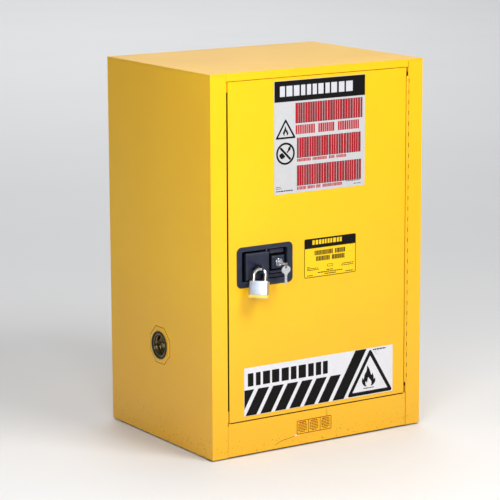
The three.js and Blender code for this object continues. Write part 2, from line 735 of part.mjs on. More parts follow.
function spareKey() {
  const y0 = ringY - SPARE.thick / 2;
  const y1 = ringY + SPARE.thick / 2;
  const oval = arc(0, 0, 1, 0, Math.PI * 2, 16).slice(0, -1);
  const bow = prism('y', oval.map(([u, v]) => [LOCK.x + u * 12, spareZ + v * SPARE.bow]), y0, y1);
  const tip = spareZ - SPARE.bow - SPARE.length;
  const blade = prism(
    'y',
    [
      [LOCK.x - SPARE.blade, spareZ],
      [LOCK.x - SPARE.blade, tip + 4],
      [LOCK.x - 1, tip],
      [LOCK.x + 2, tip],
      [LOCK.x + SPARE.blade, tip + 4],
      [LOCK.x + SPARE.blade, spareZ],
    ],
    y0,
    y1,
  );
  return cut(join(bow, blade), rod('y', LOCK.x, spareHoleZ, SPARE.hole, y0 - 1, y1 + 1, 10));
}

add('spare_key', spareKey(), nickel);

// ---------------------------------------------------------------- padlock

// The padlock is drawn square to the door round its own rod, then turned and leaned as it hangs.
function hang(solid) {
  const place = new THREE.Matrix4()
    .makeTranslation(EYE.x, FRONT - EYE.out, EYE.z)
    .multiply(new THREE.Matrix4().makeRotationZ(PADLOCK_YAW))
    .multiply(new THREE.Matrix4().makeRotationX(-PADLOCK_LEAN));
  return solid.transform(place.elements);
}

class ShacklePath extends THREE.Curve {
  getPoint(t, target = new THREE.Vector3()) {
    const r = SHACKLE.centres / 2;
    const legs = [SHACKLE.clear - r + 16 + SHACKLE.rod, SHACKLE.clear - r + 20 + SHACKLE.rod];
    const total = legs[0] + Math.PI * r + legs[1];
    const s = t * total;
    if (s < legs[0]) return target.set(-r, 0, -r - (legs[0] - s));
    if (s > total - legs[1]) return target.set(r, 0, -r - (s - total + legs[1]));
    const a = Math.PI - (s - legs[0]) / r;
    return target.set(r * Math.cos(a), 0, -r + r * Math.sin(a));
  }
}

const bodyTop = -(SHACKLE.clear + SHACKLE.rod);
const bodyLow = bodyTop - BODY.tall;

const rodSection = new THREE.Shape(circle(0, 0, SHACKLE.rod, 8).map(([u, v]) => new THREE.Vector2(u, v)));
const shackle = toSolid(
  new THREE.ExtrudeGeometry(rodSection, { steps: 30, extrudePath: new ShacklePath() }),
);
add('padlock_shackle', hang(shackle), chrome);

function padlockBody() {
  const outline = rounded(-BODY.width / 2, BODY.width / 2, -BODY.thick / 2, BODY.thick / 2, 3.5, 2);
  const block = prism('z', outline, bodyLow, bodyTop);
  const legs = [-1, 1].map((side) =>
    rod('z', (side * SHACKLE.centres) / 2, 0, SHACKLE.rod + 0.5, bodyTop - 25, bodyTop + 1),
  );
  return cut(block, ...legs);
}

function padlockBumper() {
  const grow = 1.2;
  const outline = rounded(
    -BODY.width / 2 - grow,
    BODY.width / 2 + grow,
    -BODY.thick / 2 - grow,
    BODY.thick / 2 + grow,
    4.5,
    2,
  );
  return prism('z', outline, bodyLow - GAP - BODY.bumper, bodyLow - GAP);
}

add('padlock_body', hang(padlockBody()), nickel);
add('padlock_bumper', hang(padlockBumper()), bumperYellow);

// ---------------------------------------------------------------- labels

const LABEL = 0.3;

function label(left, right, bottom, top, corner) {
  return prism('y', rounded(left, right, bottom, top, corner, 2), FRONT - GAP - LABEL, FRONT - GAP);
}

add('fire_warning_label', label(-125.5, 128, 602.5, 862.5, 2), labelWhite);
add('contents_label', label(-43, 104.5, 398, 491.5, 4), labelYellow);
add('hazard_stripe_label', label(-209.5, 214, 94.5, 208.5, 2), labelWhite);
add('sill_label', label(-63.5, 35.5, 28.5, 62, 2), labelRed);

export default cabinet;
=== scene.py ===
import json
import math
import random

import bmesh
import bpy
from mathutils import Matrix, Vector


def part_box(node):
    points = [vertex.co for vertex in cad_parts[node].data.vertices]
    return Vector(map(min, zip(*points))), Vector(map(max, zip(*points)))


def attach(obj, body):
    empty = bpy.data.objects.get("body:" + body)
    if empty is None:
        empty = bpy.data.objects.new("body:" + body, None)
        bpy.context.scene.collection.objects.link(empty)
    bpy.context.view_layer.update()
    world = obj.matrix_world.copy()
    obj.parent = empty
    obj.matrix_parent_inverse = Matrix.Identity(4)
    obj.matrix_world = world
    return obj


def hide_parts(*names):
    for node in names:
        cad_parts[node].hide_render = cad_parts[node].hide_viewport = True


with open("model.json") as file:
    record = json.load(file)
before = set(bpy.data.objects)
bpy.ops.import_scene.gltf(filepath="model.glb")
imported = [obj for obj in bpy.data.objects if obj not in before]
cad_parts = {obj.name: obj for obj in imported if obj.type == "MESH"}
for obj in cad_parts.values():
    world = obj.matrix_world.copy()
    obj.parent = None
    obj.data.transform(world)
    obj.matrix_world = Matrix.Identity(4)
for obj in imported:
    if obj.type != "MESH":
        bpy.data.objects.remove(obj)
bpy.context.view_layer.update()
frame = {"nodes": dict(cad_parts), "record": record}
nodes = frame["nodes"]
MM = 0.001
random.seed(7)

# ---- places taken from the frame

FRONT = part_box("top_panel")[0].y
CASE_HALF = 295.5
CASE_TALL = 889.0


# ---- nodes and materials

class Nodes:
    """Builds a material's node tree. The calls that work out a value return its socket."""

    def __init__(self, name):
        self.material = bpy.data.materials.new(name)
        self.material.use_nodes = True
        self.tree = self.material.node_tree
        self.shader = self.tree.nodes["Principled BSDF"]
        self.place = self.add("ShaderNodeTexCoord").outputs["Object"]

    def add(self, kind, **settings):
        node = self.tree.nodes.new(kind)
        for key, value in settings.items():
            setattr(node, key, value)
        return node

    def link(self, value, socket):
        if isinstance(value, bpy.types.NodeSocket):
            self.tree.links.new(value, socket)
        else:
            socket.default_value = value

    def noise(self, scale, detail=2.0, rough=0.5, stretch=None):
        node = self.add("ShaderNodeTexNoise")
        node.inputs["Scale"].default_value = scale
        node.inputs["Detail"].default_value = detail
        node.inputs["Roughness"].default_value = rough
        self.link(self.stretched(stretch) if stretch else self.place, node.inputs["Vector"])
        return node.outputs["Fac"]

    def stretched(self, factors):
        node = self.add("ShaderNodeMapping")
        node.inputs["Scale"].default_value = factors
        self.link(self.place, node.inputs["Vector"])
        return node.outputs["Vector"]

    def ramp(self, value, low, high, out_low=0.0, out_high=1.0):
        node = self.add("ShaderNodeMapRange")
        for key, number in (("From Min", low), ("From Max", high), ("To Min", out_low), ("To Max", out_high)):
            node.inputs[key].default_value = number
        self.link(value, node.inputs["Value"])
        return node.outputs["Result"]

    def math(self, operation, a, b=0.0):
        node = self.add("ShaderNodeMath", operation=operation)
        self.link(a, node.inputs[0])
        self.link(b, node.inputs[1])
        return node.outputs[0]

    def axis(self, letter):
        node = self.add("ShaderNodeSeparateXYZ")
        self.link(self.place, node.inputs[0])
        return node.outputs[letter]

    def mix(self, share, a, b):
        node = self.add("ShaderNodeMix", data_type="RGBA")
        self.link(share, node.inputs[0])
        self.link(a, node.inputs[6])
        self.link(b, node.inputs[7])
        return node.outputs[2]

    def bump(self, height, depth, strength=1.0):
        node = self.add("ShaderNodeBump")
        node.inputs["Distance"].default_value = depth
        node.inputs["Strength"].default_value = strength
        self.link(height, node.inputs["Height"])
        self.link(node.outputs["Normal"], self.shader.inputs["Normal"])

    def set(self, **sockets):
        for key, value in sockets.items():
            self.link(value, self.shader.inputs[key.replace("_", " ")])


def srgb(red, green, blue):
    """A colour given as 0 to 255 in each channel, as the linear values that a shader takes."""
    def linear(v):
        v /= 255
        return v / 12.92 if v <= 0.04045 else ((v + 0.055) / 1.055) ** 2.4

    return (linear(red), linear(green), linear(blue), 1.0)


def cabinet_paint():
    """Gloss powder coat: orange peel, a slow drift of colour, painted shade towards the bottom, and scuffs
    low down on the case.
    """
    m = Nodes("cabinet_paint")
    drift = m.ramp(m.noise(3.1, 3), 0.3, 0.7)
    body = m.mix(drift, srgb(249, 191, 5), srgb(252, 197, 9))
    low = m.ramp(m.axis("Z"), 0.0, 0.11, 1.0, 0.0)
    # painted shade: the paint turns darker and more amber towards the bottom of the case
    lower_shade = m.mix(m.ramp(m.axis("Z"), 0.0, 0.42, 0.5, 0.0), body, srgb(232, 164, 8))
    specks = m.ramp(m.noise(150, 4, 0.65), 0.625, 0.66)
    scratches = m.ramp(m.noise(38, 3, 0.6, (1.0, 1.0, 0.12)), 0.67, 0.71)
    worn = m.math("MULTIPLY", m.math("MAXIMUM", specks, scratches), low)
    m.set(Base_Color=m.mix(m.math("MULTIPLY", worn, 0.75), lower_shade, srgb(120, 84, 34)))
    peel = m.math("ADD", m.noise(420, 2), m.math("MULTIPLY", m.noise(95, 2), 0.8))
    m.set(Roughness=m.ramp(m.noise(9, 3), 0.3, 0.7, 0.30, 0.38))
    m.shader.inputs["Coat Weight"].default_value = 0.25
    m.shader.inputs["Coat Roughness"].default_value = 0.2
    m.bump(peel, 0.00006, 0.55)
    return m.material


def handle_paint():
    """Blue-black satin coat on cast parts, with painted shade that darkens it deep in the pocket."""
    m = Nodes("handle_paint")
    drift = m.ramp(m.noise(60, 3), 0.35, 0.7)
    body = m.mix(drift, srgb(26, 32, 50), srgb(34, 41, 62))
    # painted shade: the colour goes nearly black from 1.5 to 9 mm behind the front, deep in the pocket
    depth = m.ramp(m.axis("Y"), FRONT + 1.5 * MM, FRONT + 9 * MM)
    m.set(Base_Color=m.mix(m.math("MULTIPLY", depth, 0.9), body, srgb(7, 8, 12)))
    m.set(Roughness=m.ramp(m.noise(130, 3), 0.3, 0.7, 0.36, 0.5))
    m.bump(m.noise(1500, 3), 0.00005, 0.5)
    return m.material


def plated(name, color, rough, streaks, stretch=(1, 1, 14), dark=0.75):
    """Bright metal with fine streaks from rolling or polishing."""
    m = Nodes(name)
    grain = m.noise(streaks, 4, 0.6, stretch)
    cloud = m.ramp(m.noise(70, 4, 0.6), 0.3, 0.75)
    deep = tuple(c * dark for c in color[:3]) + (1.0,)
    m.set(Base_Color=m.mix(cloud, color, deep))
    m.shader.inputs["Metallic"].default_value = 1.0
    m.set(Roughness=m.ramp(grain, 0.25, 0.75, rough * 0.75, rough * 1.35))
    m.bump(grain, 0.00002, 0.35)
    return m.material


def galvanized():
    """Zinc with its crystal spangle."""
    m = Nodes("galvanized_steel")
    cells = m.add("ShaderNodeTexVoronoi")
    cells.inputs["Scale"].default_value = 110
    m.link(m.place, cells.inputs["Vector"])
    tone = m.add("ShaderNodeSeparateColor")
    m.link(cells.outputs["Color"], tone.inputs[0])
    m.set(Base_Color=m.mix(tone.outputs[0], srgb(176, 182, 186), srgb(206, 210, 212)))
    m.shader.inputs["Metallic"].default_value = 0.9
    m.set(Roughness=m.ramp(tone.outputs[1], 0.0, 1.0, 0.33, 0.52))
    m.bump(m.noise(600, 2), 0.00002, 0.4)
    return m.material


def plastic(name, color, rough, shine=0.5):
    """Moulded plastic or rubber with a fine surface grain."""
    m = Nodes(name)
    m.shader.inputs["Specular IOR Level"].default_value = shine
    deep = tuple(c * 0.8 for c in color[:3]) + (1.0,)
    m.set(Base_Color=m.mix(m.ramp(m.noise(45, 3), 0.35, 0.65), color, deep))
    m.set(Roughness=m.ramp(m.noise(160, 3), 0.3, 0.7, rough * 0.85, rough * 1.15))
    m.bump(m.noise(900, 2), 0.00004, 0.5)
    return m.material


def film(name, color, rough=0.45, shine=0.35):
    """Printed film: a flat ink colour with faint mottling and a soft sheen."""
    m = Nodes(name)
    m.shader.inputs["Specular IOR Level"].default_value = shine
    tint = tuple(c * 0.93 for c in color[:3]) + (1.0,)
    m.set(Base_Color=m.mix(m.ramp(m.noise(300, 4, 0.7), 0.35, 0.65), color, tint))
    m.set(Roughness=m.ramp(m.noise(40, 2), 0.3, 0.7, rough * 0.9, rough * 1.15))
    m.bump(m.noise(260, 2), 0.00002, 0.3)
    return m.material


PAINT = cabinet_paint()
HANDLE = handle_paint()
CHROME = plated("chrome", srgb(225, 228, 232), 0.12, 500, dark=0.85)
PADLOCK = plated("padlock_steel", srgb(204, 214, 230), 0.3, 600, (14, 14, 1), 0.88)
NICKEL = plated("nickel_steel", srgb(243, 246, 250), 0.36, 700, dark=0.9)
STEEL = plated("plain_steel", srgb(172, 174, 178), 0.34, 600)
CAP_STEEL = plated("cap_steel", srgb(150, 138, 104), 0.2, 300)
BRASS = plated("brass", srgb(196, 160, 92), 0.3, 500)
# dark brown for real seams and scratches, and for lines of painted shadow
SEAM_AND_SHADOW = plastic("seam_and_shadow_line", srgb(104, 56, 18), 0.8, shine=0.1)
# painted shade for the depths of the gaps round the door
SHADE = plastic("painted_gap_shade", srgb(40, 22, 12), 0.8, shine=0.1)
ZINC = galvanized()
BLACK = plastic("black_plastic", srgb(26, 26, 28), 0.42)
BUMPER = plastic("bumper_vinyl", srgb(252, 218, 92), 0.38)
INK_WHITE = film("white_label", srgb(226, 226, 232))
INK_GREY = film("label_grey", srgb(196, 196, 199))
INK_BLACK = film("label_black", srgb(13, 11, 12), 0.55, 0.15)
INK_RED = film("label_red", srgb(176, 14, 30), 0.5, 0.2)
INK_YELLOW = film("yellow_label", srgb(250, 205, 20))
INK_BROWN = film("brown_label", srgb(112, 34, 10), 0.5, 0.2)
INK_AMBER = film("label_amber", srgb(246, 184, 18))
INK_LIGHT = film("label_light", srgb(205, 205, 212))
BY_SLOT = {
    "cabinet_paint": PAINT,
    "handle_paint": HANDLE,
    "chrome": CHROME,
    "nickel_steel": NICKEL,
    "plain_steel": STEEL,
    "brass": BRASS,
    "galvanized_steel": ZINC,
    "black_plastic": BLACK,
    "bumper_vinyl": BUMPER,
    "white_label": INK_WHITE,
    "yellow_label": INK_YELLOW,
    "brown_label": INK_BROWN,
}


# ---- mesh helpers, in millimetres

def at(x, back, z):
    """A point x to the right of the middle, back behind the front face and z above the floor, in mm."""
    return Vector((x * MM, FRONT + back * MM, z * MM))


def finish_mesh(name, bm, materials, smooth_angle=35):
    """Makes an object from a bmesh, with faces shaded smooth except across sharp edges."""
    bmesh.ops.recalc_face_normals(bm, faces=bm.faces)
    mesh = bpy.data.meshes.new(name)
    bm.to_mesh(mesh)
    bm.free()
    for material in materials:
        mesh.materials.append(material)
    mesh.polygons.foreach_set("use_smooth", [True] * len(mesh.polygons))
    mesh.set_sharp_from_angle(angle=math.radians(smooth_angle))
    made = bpy.data.objects.new(name, mesh)
    bpy.context.scene.collection.objects.link(made)
    return made


def piece(name, bm, materials, body, cad=(), bevel=0.0, segments=3, smooth_angle=35):
    """One visible piece: meshed, given its materials, riding its body and standing for its CAD nodes."""
    if not isinstance(materials, (list, tuple)):
        materials = [materials]
    made = finish_mesh(name, bm, materials, smooth_angle)
    if bevel:
        round_edges(made, bevel, segments)
    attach(made, body)
    if cad:
        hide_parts(*cad)


def round_edges(made, width, segments=3):
    """Breaks the sharp edges of an object with a small radius, and keeps its flat faces flat."""
    modifier = made.modifiers.new("edge", "BEVEL")
    modifier.width = width * MM
    modifier.segments = segments
    modifier.limit_method = "ANGLE"
    modifier.angle_limit = math.radians(30)
    modifier.use_clamp_overlap = True
    modifier.harden_normals = False
    weighted = made.modifiers.new("normals", "WEIGHTED_NORMAL")
    weighted.keep_sharp = True


def rounded(x0, x1, z0, z1, radius, steps=6):
    """Outline of a rectangle with round corners, as (x, z) pairs in mm, anticlockwise."""
    corners = ((x1 - radius, z0 + radius, -90), (x1 - radius, z1 - radius, 0),
               (x0 + radius, z1 - radius, 90), (x0 + radius, z0 + radius, 180))
    outline = []
    for cx, cz, start in corners:
        for i in range(steps + 1):
            a = math.radians(start + 90 * i / steps)
            outline.append((cx + radius * math.cos(a), cz + radius * math.sin(a)))
    return outline


def disc(cx, cz, radius, steps=48, start=0.0, turn=360.0):
    """Points on a circle, or on part of one, as (x, z) pairs in mm."""
    count = steps if turn == 360.0 else steps + 1
    return [(cx + radius * math.cos(math.radians(start + turn * i / steps)),
             cz + radius * math.sin(math.radians(start + turn * i / steps))) for i in range(count)]


def slab(bm, outline, back0, back1, index=0):
    """A flat plate with this outline, from depth back0 to depth back1 behind the front face."""
    near = [bm.verts.new(at(x, back0, z)) for x, z in outline]
    far = [bm.verts.new(at(x, back1, z)) for x, z in outline]
    faces = [bm.faces.new(near), bm.faces.new(list(reversed(far)))]
    count = len(outline)
    for i in range(count):
        j = (i + 1) % count
        faces.append(bm.faces.new((near[j], near[i], far[i], far[j])))
    for face in faces:
        face.material_index = index


def bar(bm, x0, x1, z0, z1, back0, back1):
    """A box added to a bmesh, between two depths behind the front face."""
    slab(bm, [(x0, z0), (x1, z0), (x1, z1), (x0, z1)], back0, back1)


def lofted(bm, rings, close=True):
    """Joins rings of equal length, each a list of points, into a skin, with its ends capped if close."""
    made = [[bm.verts.new(p) for p in ring] for ring in rings]
    for low, high in zip(made, made[1:]):
        count = len(low)
        for i in range(count):
            j = (i + 1) % count
            bm.faces.new((low[i], low[j], high[j], high[i]))
    if close:
        bm.faces.new(list(reversed(made[0])))
        bm.faces.new(made[-1])


def turned(bm, profile, centre, axis, steps=64, closed=False):
    """A body of revolution: profile is (radius, along) pairs in mm, along the axis from centre."""
    axis = Vector(axis).normalized()
    side = axis.orthogonal().normalized()
    other = axis.cross(side)
    rings = []
    for i in range(steps):
        a = 2 * math.pi * i / steps
        out = side * math.cos(a) + other * math.sin(a)
        rings.append([centre + (out * r + axis * t) * MM for r, t in profile])
    verts = [[bm.verts.new(p) for p in ring] for ring in rings]
    count = len(profile)
    for i in range(steps):
        here, there = verts[i], verts[(i + 1) % steps]
        for k in range(count if closed else count - 1):
            n = (k + 1) % count
            bm.faces.new((here[k], here[n], there[n], there[k]))
    bmesh.ops.remove_doubles(bm, verts=bm.verts, dist=1e-7)


def tube(bm, path, radius, steps=16, closed=False):
    """A round bar along a list of points in metres, with its ends rounded off unless it closes."""
    rings = []
    count = len(path)
    normal = None
    for i, p in enumerate(path):
        before = path[i - 1] if i or closed else p
        after = path[(i + 1) % count] if i < count - 1 or closed else p
        along = (after - before).normalized()
        if normal is None:
            normal = along.orthogonal().normalized()
        normal = (normal - along * normal.dot(along)).normalized()
        other = along.cross(normal)
        rings.append([p + (normal * math.cos(2 * math.pi * k / steps)
                           + other * math.sin(2 * math.pi * k / steps)) * radius * MM
                      for k in range(steps)])
    if closed:
        rings.append(rings[0])
    lofted(bm, rings, close=not closed)
    if closed:
        bmesh.ops.remove_doubles(bm, verts=bm.verts, dist=1e-7)


# ---- sheet metal kept from the frame

for node in nodes.values():
    node.data.materials.clear()

for subpart in frame["record"]["subparts"]:
    nodes[subpart["node"]].data.materials.append(BY_SLOT[subpart["material_slot"]])

FOLDED = ("left_side_panel", "right_side_panel", "top_panel", "front_sill_rail", "door_outer_panel")
for name in FOLDED:
    round_edges(nodes[name], 0.9, 3)


# ---- cutting and joining

def shape(bm):
    """A loose object that only takes part in a cut or a join."""
    return finish_mesh("cutter", bm, [])


def combine(made, others, operation):
    """Cuts the other objects from this one, or joins them to it, and removes them."""
    for other in others:
        modifier = made.modifiers.new("combine", "BOOLEAN")
        modifier.operation = operation
        modifier.object = other
        modifier.solver = "EXACT"
    bpy.context.view_layer.update()
    shaped = made.evaluated_get(bpy.context.evaluated_depsgraph_get())
    mesh = bpy.data.meshes.new_from_object(shaped)
    made.modifiers.clear()
    old = made.data
    made.data = mesh
    bpy.data.meshes.remove(old)
    for other in others:
        data = other.data
        bpy.data.objects.remove(other)
        bpy.data.meshes.remove(data)


def carved(bm, cutters, joined=()):
    """The bmesh left when cutters are taken from it, after the joined bmeshes are added to it."""
    made = shape(bm)
    if joined:
        combine(made, [shape(b) for b in joined], "UNION")
    if cutters:
        combine(made, [shape(b) for b in cutters], "DIFFERENCE")
    left = bmesh.new()
    left.from_mesh(made.data)
    data = made.data
    bpy.data.objects.remove(made)
    bpy.data.meshes.remove(data)
    return left


def block(x0, x1, back0, back1, z0, z1):
    """A bmesh box between two depths behind the front face."""
    bm = bmesh.new()
    bar(bm, x0, x1, z0, z1, back0, back1)
    return bm


def peg(x, z, radius, back0, back1, steps=32):
    """A bmesh round bar that runs front to back."""
    bm = bmesh.new()
    slab(bm, disc(x, z, radius, steps), back0, back1)
    return bm


def post(x, back, radius, z0, z1, steps=24):
    """A bmesh round bar that stands upright."""
    bm = bmesh.new()
    rings = []
    for z in (z0, z1):
        rings.append([at(x + radius * math.cos(2 * math.pi * i / steps),
                         back + radius * math.sin(2 * math.pi * i / steps), z) for i in range(steps)])
    lofted(bm, rings)
    return bm


def grown(box, by):
    """The (x0, x1, z0, z1, corner radius) of a rounded rectangle grown by this much all round."""
    x0, x1, z0, z1, radius = box
    return (x0 - by, x1 + by, z0 - by, z1 + by, max(radius + by, 0.3))


def plan(box, back, steps=8):
    """Points in metres of a rounded rectangle at a depth behind the front face."""
    return [at(x, back, z) for x, z in rounded(*box, steps)]


def inset_plan(box, inset, radius, back):
    """Points in metres of an (x0, x1, z0, z1) box drawn in by this much, with this corner radius."""
    x0, x1, z0, z1 = box
    return plan((x0 + inset, x1 - inset, z0 + inset, z1 - inset, radius), back, 4)


# ---- handle dish

DISH = (-228.0, -75.0, 396.5, 491.5, 12.5)
POCKET = (-213.5, -90.5, 410.0, 480.0, 3.0)
POCKET_FLOOR = 22.0
HUB = (-152.0, 452.0)
PIVOT = (-143.0, 6.0)
LOCK = (-113.5, 446.5)


def handle_dish():
    """A deep pan with a rolled flange: one closed skin from the pocket's floor out and round to its back."""
    pocket = ((-1.4, POCKET_FLOOR), (-0.4, POCKET_FLOOR - 0.4), (0, POCKET_FLOOR - 1.4), (0, 0.6),
              (0.15, -0.5), (0.6, -1.2), (1.4, -1.65), (2.6, -1.85))
    flange = ((-2.4, -1.88), (-1.2, -1.75), (-0.4, -1.3), (0, -0.7), (0, -0.3))
    behind = ((1.6, -0.3), (1.6, POCKET_FLOOR + 1.6))
    rings = []
    for box, section in ((POCKET, pocket), (DISH, flange), (POCKET, behind)):
        rings += [plan(grown(box, by), back) for by, back in section]
    bm = bmesh.new()
    lofted(bm, rings)
    tail_slot = block(-163, -135, 18, 30, 422, 438)
    hub_hole = peg(HUB[0], HUB[1], 3.4, 18, 30)
    pin_hole = post(*PIVOT, 2.05, 396, 492)
    bm = carved(bm, [tail_slot, hub_hole, pin_hole])
    piece("handle_dish_pan", bm, HANDLE, "door", ["handle_dish"], smooth_angle=28)


def dish_steps():
    """Cast steps round the lock: one over it and two below it."""
    bm = bmesh.new()
    steps = (
        ((-136.0, -97.8, 468.3, 477.8, 0.8), 3.0),
        ((-136.0, -92.0, 421.8, 427.6, 0.8), 2.6),
        ((-136.0, -92.0, 411.0, 419.2, 0.8), 4.6),
    )
    for box, front in steps:
        lofted(bm, [plan(grown(box, -0.9), front, 3), plan(grown(box, -0.25), front + 0.3, 3),
                    plan(box, front + 1.0, 3), plan(box, POCKET_FLOOR - 0.05, 3)])
    piece("handle_dish_steps", bm, HANDLE, "door")


def rivet_heads():
    """Domed rivets that hold the dish: one shows in the finger gap."""
    bm = bmesh.new()
    dome = [(0, -1.0), (1.1, -0.9), (1.9, -0.45), (2.2, 0.0), (0, 0.0)]
    for z in (453.4, 420.0):
        turned(bm, dome, at(-208.6, POCKET_FLOOR - 0.02, z), (0, 1, 0), 24)
    piece("dish_rivets", bm, STEEL, "door")


# ---- paddle

PADDLE = (-203.0, -139.5, 411.5, 475.0)
PADDLE_PROUD = -2.5
PADDLE_BACK = 9.5
ARCH_RADIUS = 21.0
EYE = (-178.0, 441.0, -21.0)


def paddle():
    """Bevelled square plate with an arched pocket, and an eye that stands in the pocket."""
    x1, z0, z1 = PADDLE[1:]
    bm = bmesh.new()
    edge = ((3.3, PADDLE_PROUD), (2.6, PADDLE_PROUD + 0.25), (0.5, PADDLE_PROUD + 2.2),
            (0.0, PADDLE_PROUD + 3.0), (0.0, PADDLE_BACK))
    lofted(bm, [inset_plan(PADDLE, inset, 0.8, back) for inset, back in edge])
    pocket = bmesh.new()
    arch = disc(EYE[0], z0 + 10, ARCH_RADIUS, 32, 0, 180)
    arch += [(EYE[0] - ARCH_RADIUS, z0 - 5), (EYE[0] + ARCH_RADIUS, z0 - 5)]
    slab(pocket, arch, -9, PADDLE_BACK - 3)
    spring_room = block(PIVOT[0] - 6, x1 + 1, PIVOT[1] - 5.2, PADDLE_BACK + 1, 447, 465)
    pin_bore = post(*PIVOT, 2.1, z0 - 5, z1 + 5)
    corner_notch = block(x1 - 8.5, x1 + 1, PADDLE_PROUD - 2, PADDLE_PROUD + 5.5, z1 - 1.4, z1 + 2)
    tail = block(PIVOT[0] - 2, PIVOT[0] + 2, PADDLE_BACK - 1, 29, 424, 430)
    bm = carved(bm, [pocket, spring_room, pin_bore, corner_notch])
    bm = carved(bm, [], [tail, eye_tab()])
    piece("paddle_plate", bm, HANDLE, "paddle", ["paddle"], 0.35, 2, smooth_angle=30)


def eye_tab():
    """The padlock's eye: a rounded upright tongue with a slot through it, from side to side."""
    back_end = PADDLE_BACK - 2
    outline = rounded(EYE[2] - 12.5, back_end, EYE[1] - 9, EYE[1] + 10, 6, 8)
    slot_hole = rounded(EYE[2] - 9.3, EYE[2] + 7.9, EYE[1] - 6.4, EYE[1] + 5.3, 2, 6)

    def upright(points, x_a, x_b):
        made = bmesh.new()
        lofted(made, [[at(x, back, z) for back, z in points] for x in (x_a, x_b)])
        return made

    return carved(upright(outline, EYE[0] - 1.5, EYE[0] + 1.5), [upright(slot_hole, EYE[0] - 5, EYE[0] + 5)])


# ---- lock

LOCK_FRONT = -1.0
PLUG_FACE = LOCK_FRONT - 3.6


def lock_housing():
    """Cast box round the lock with wide sloping edges and a bore for the plug."""
    box = (LOCK[0] - 17.5, LOCK[0] + 17.5, LOCK[1] - 15.5, LOCK[1] + 15.5)
    edge = ((4.0, LOCK_FRONT), (3.3, LOCK_FRONT + 0.15), (0.9, LOCK_FRONT + 2.6), (0.2, LOCK_FRONT + 3.4),
            (0.0, LOCK_FRONT + 5.0), (0.0, POCKET_FLOOR - 0.3))
    bm = bmesh.new()
    lofted(bm, [inset_plan(box, inset, 1.2, back) for inset, back in edge])
    bm = carved(bm, [peg(*LOCK, 6.4, -9, 30, 48)])
    piece("lock_box", bm, HANDLE, "door", ["lock_housing"], smooth_angle=28)


def lock_collar():
    """Chrome bezel with a rounded rim and a shallow cone inside."""
    bm = bmesh.new()
    profile = [(6.4, -0.3), (6.4, -1.7), (6.7, -2.1), (7.6, -2.45), (8.4, -2.6), (8.9, -2.5), (9.3, -2.1),
               (9.5, -1.5), (9.5, -0.3)]
    turned(bm, profile, at(LOCK[0], LOCK_FRONT, LOCK[1]), (0, 1, 0), 64, closed=True)
    piece("lock_bezel", bm, CHROME, "door", ["lock_collar"])


def lock_plug():
    """Round plug with a chamfered face and the keyway cut through its middle."""
    bm = bmesh.new()
    profile = [(0, 0), (5.2, 0), (5.75, 0.2), (6.0, 0.8), (6.0, 25.5), (0, 25.5)]
    turned(bm, profile, at(LOCK[0], PLUG_FACE, LOCK[1]), (0, 1, 0), 48)
    keyway = block(LOCK[0] - 4.4, LOCK[0] + 4.4, PLUG_FACE - 2, PLUG_FACE + 12, LOCK[1] - 1.2, LOCK[1] + 1.2)
    bm = carved(bm, [keyway])
    piece("lock_plug_turned", bm, CHROME, "lock_plug", ["lock_plug"], 0.12, 2)


# ---- keys and their ring

BOW_BACK = PLUG_FACE - 15.0
RING_BACK = BOW_BACK - 9.5 + 1.25 - 2.15
RING_RADIUS = 5.5
RING_Z = LOCK[1] - 1.9
SPARE_HOLE_Z = RING_Z - RING_RADIUS
SPARE_Z = SPARE_HOLE_Z - 9.5 + 2.4 + 1.6


def cut_blade(length, half, tip):
    """Outline of a cut key blade, as (across, along) pairs: one edge straight, one edge with its cuts."""
    teeth = []
    depths = (0.4, 1.8, 1.0, 2.2, 1.4, 0.7)
    pitch = (length - tip - 2.0) / len(depths)
    for i, depth in enumerate(depths):
        start = 1.0 + i * pitch
        teeth += [(half, start), (half - depth, start + pitch * 0.35), (half - depth, start + pitch * 0.65)]
    teeth.append((half, 1.0 + len(depths) * pitch))
    point = [(-half, 0.0), (-half, length - tip), (-0.9, length), (1.2, length)]
    return point + teeth[::-1] + [(half, 0.0)]


def key_between(outlines, holes, groove, thick, place):
    """A flat key: outlines joined, holes cut and a groove milled in both faces. place maps (u, v, w)."""
    def plate(points, w0, w1):
        made = bmesh.new()
        lofted(made, [[place(u, v, w) for u, v in points] for w in (w0, w1)])
        return made

    half = thick / 2
    cutters = [plate(hole, -half - 1, half + 1) for hole in holes]
    cutters += [plate(groove, -half - 1, -half + 0.35), plate(groove, half - 0.35, half + 1)]
    return carved(plate(outlines[0], -half, half), cutters, [plate(o, -half, half) for o in outlines[1:]])


def inserted_key():
    """The key in the lock: it lies level, its bow stands out to the front."""
    def place(u, v, w):
        return at(LOCK[0] + u, BOW_BACK + v, LOCK[1] + w)

    bow = disc(0, 0, 9.25, 48)
    blade = [(-3.6, 0), (3.6, 0), (3.6, 26), (-3.6, 26)]
    hole = disc(0, -3.4, 3.6, 24)
    groove = [(-0.9, 10.5), (0.5, 10.5), (0.5, 25.2), (-0.9, 25.2)]
    bm = key_between([bow, blade], [hole], groove, 1.8, place)
    piece("inserted_key_cut", bm, NICKEL, "lock_plug", ["inserted_key"], 0.2, 2)


def spare_key():
    """The spare key hangs from the ring with its flat side to the front."""
    def place(u, v, w):
        return at(LOCK[0] + u, RING_BACK + w, SPARE_Z - v)

    bow = [(12 * math.cos(math.radians(a)), 9.5 * math.sin(math.radians(a))) for a in range(0, 360, 6)]
    shoulder = [(-5.2, 7.0), (5.2, 7.0), (4.2, 11.5), (3.6, 12.5), (-3.6, 12.5), (-4.2, 11.5)]
    blade = [(u, 9.0 + v) for u, v in cut_blade(25.5, 3.6, 4.0)]
    hole = disc(0, SPARE_Z - SPARE_HOLE_Z, 2.4, 24)
    groove = [(-1.6, 12.0), (-0.2, 12.0), (-0.2, 32.0), (-1.6, 32.0)]
    bm = key_between([bow, shoulder, blade], [hole], groove, 1.6, place)
    piece("spare_key_cut", bm, NICKEL, "spare_key", ["spare_key"], 0.2, 2)


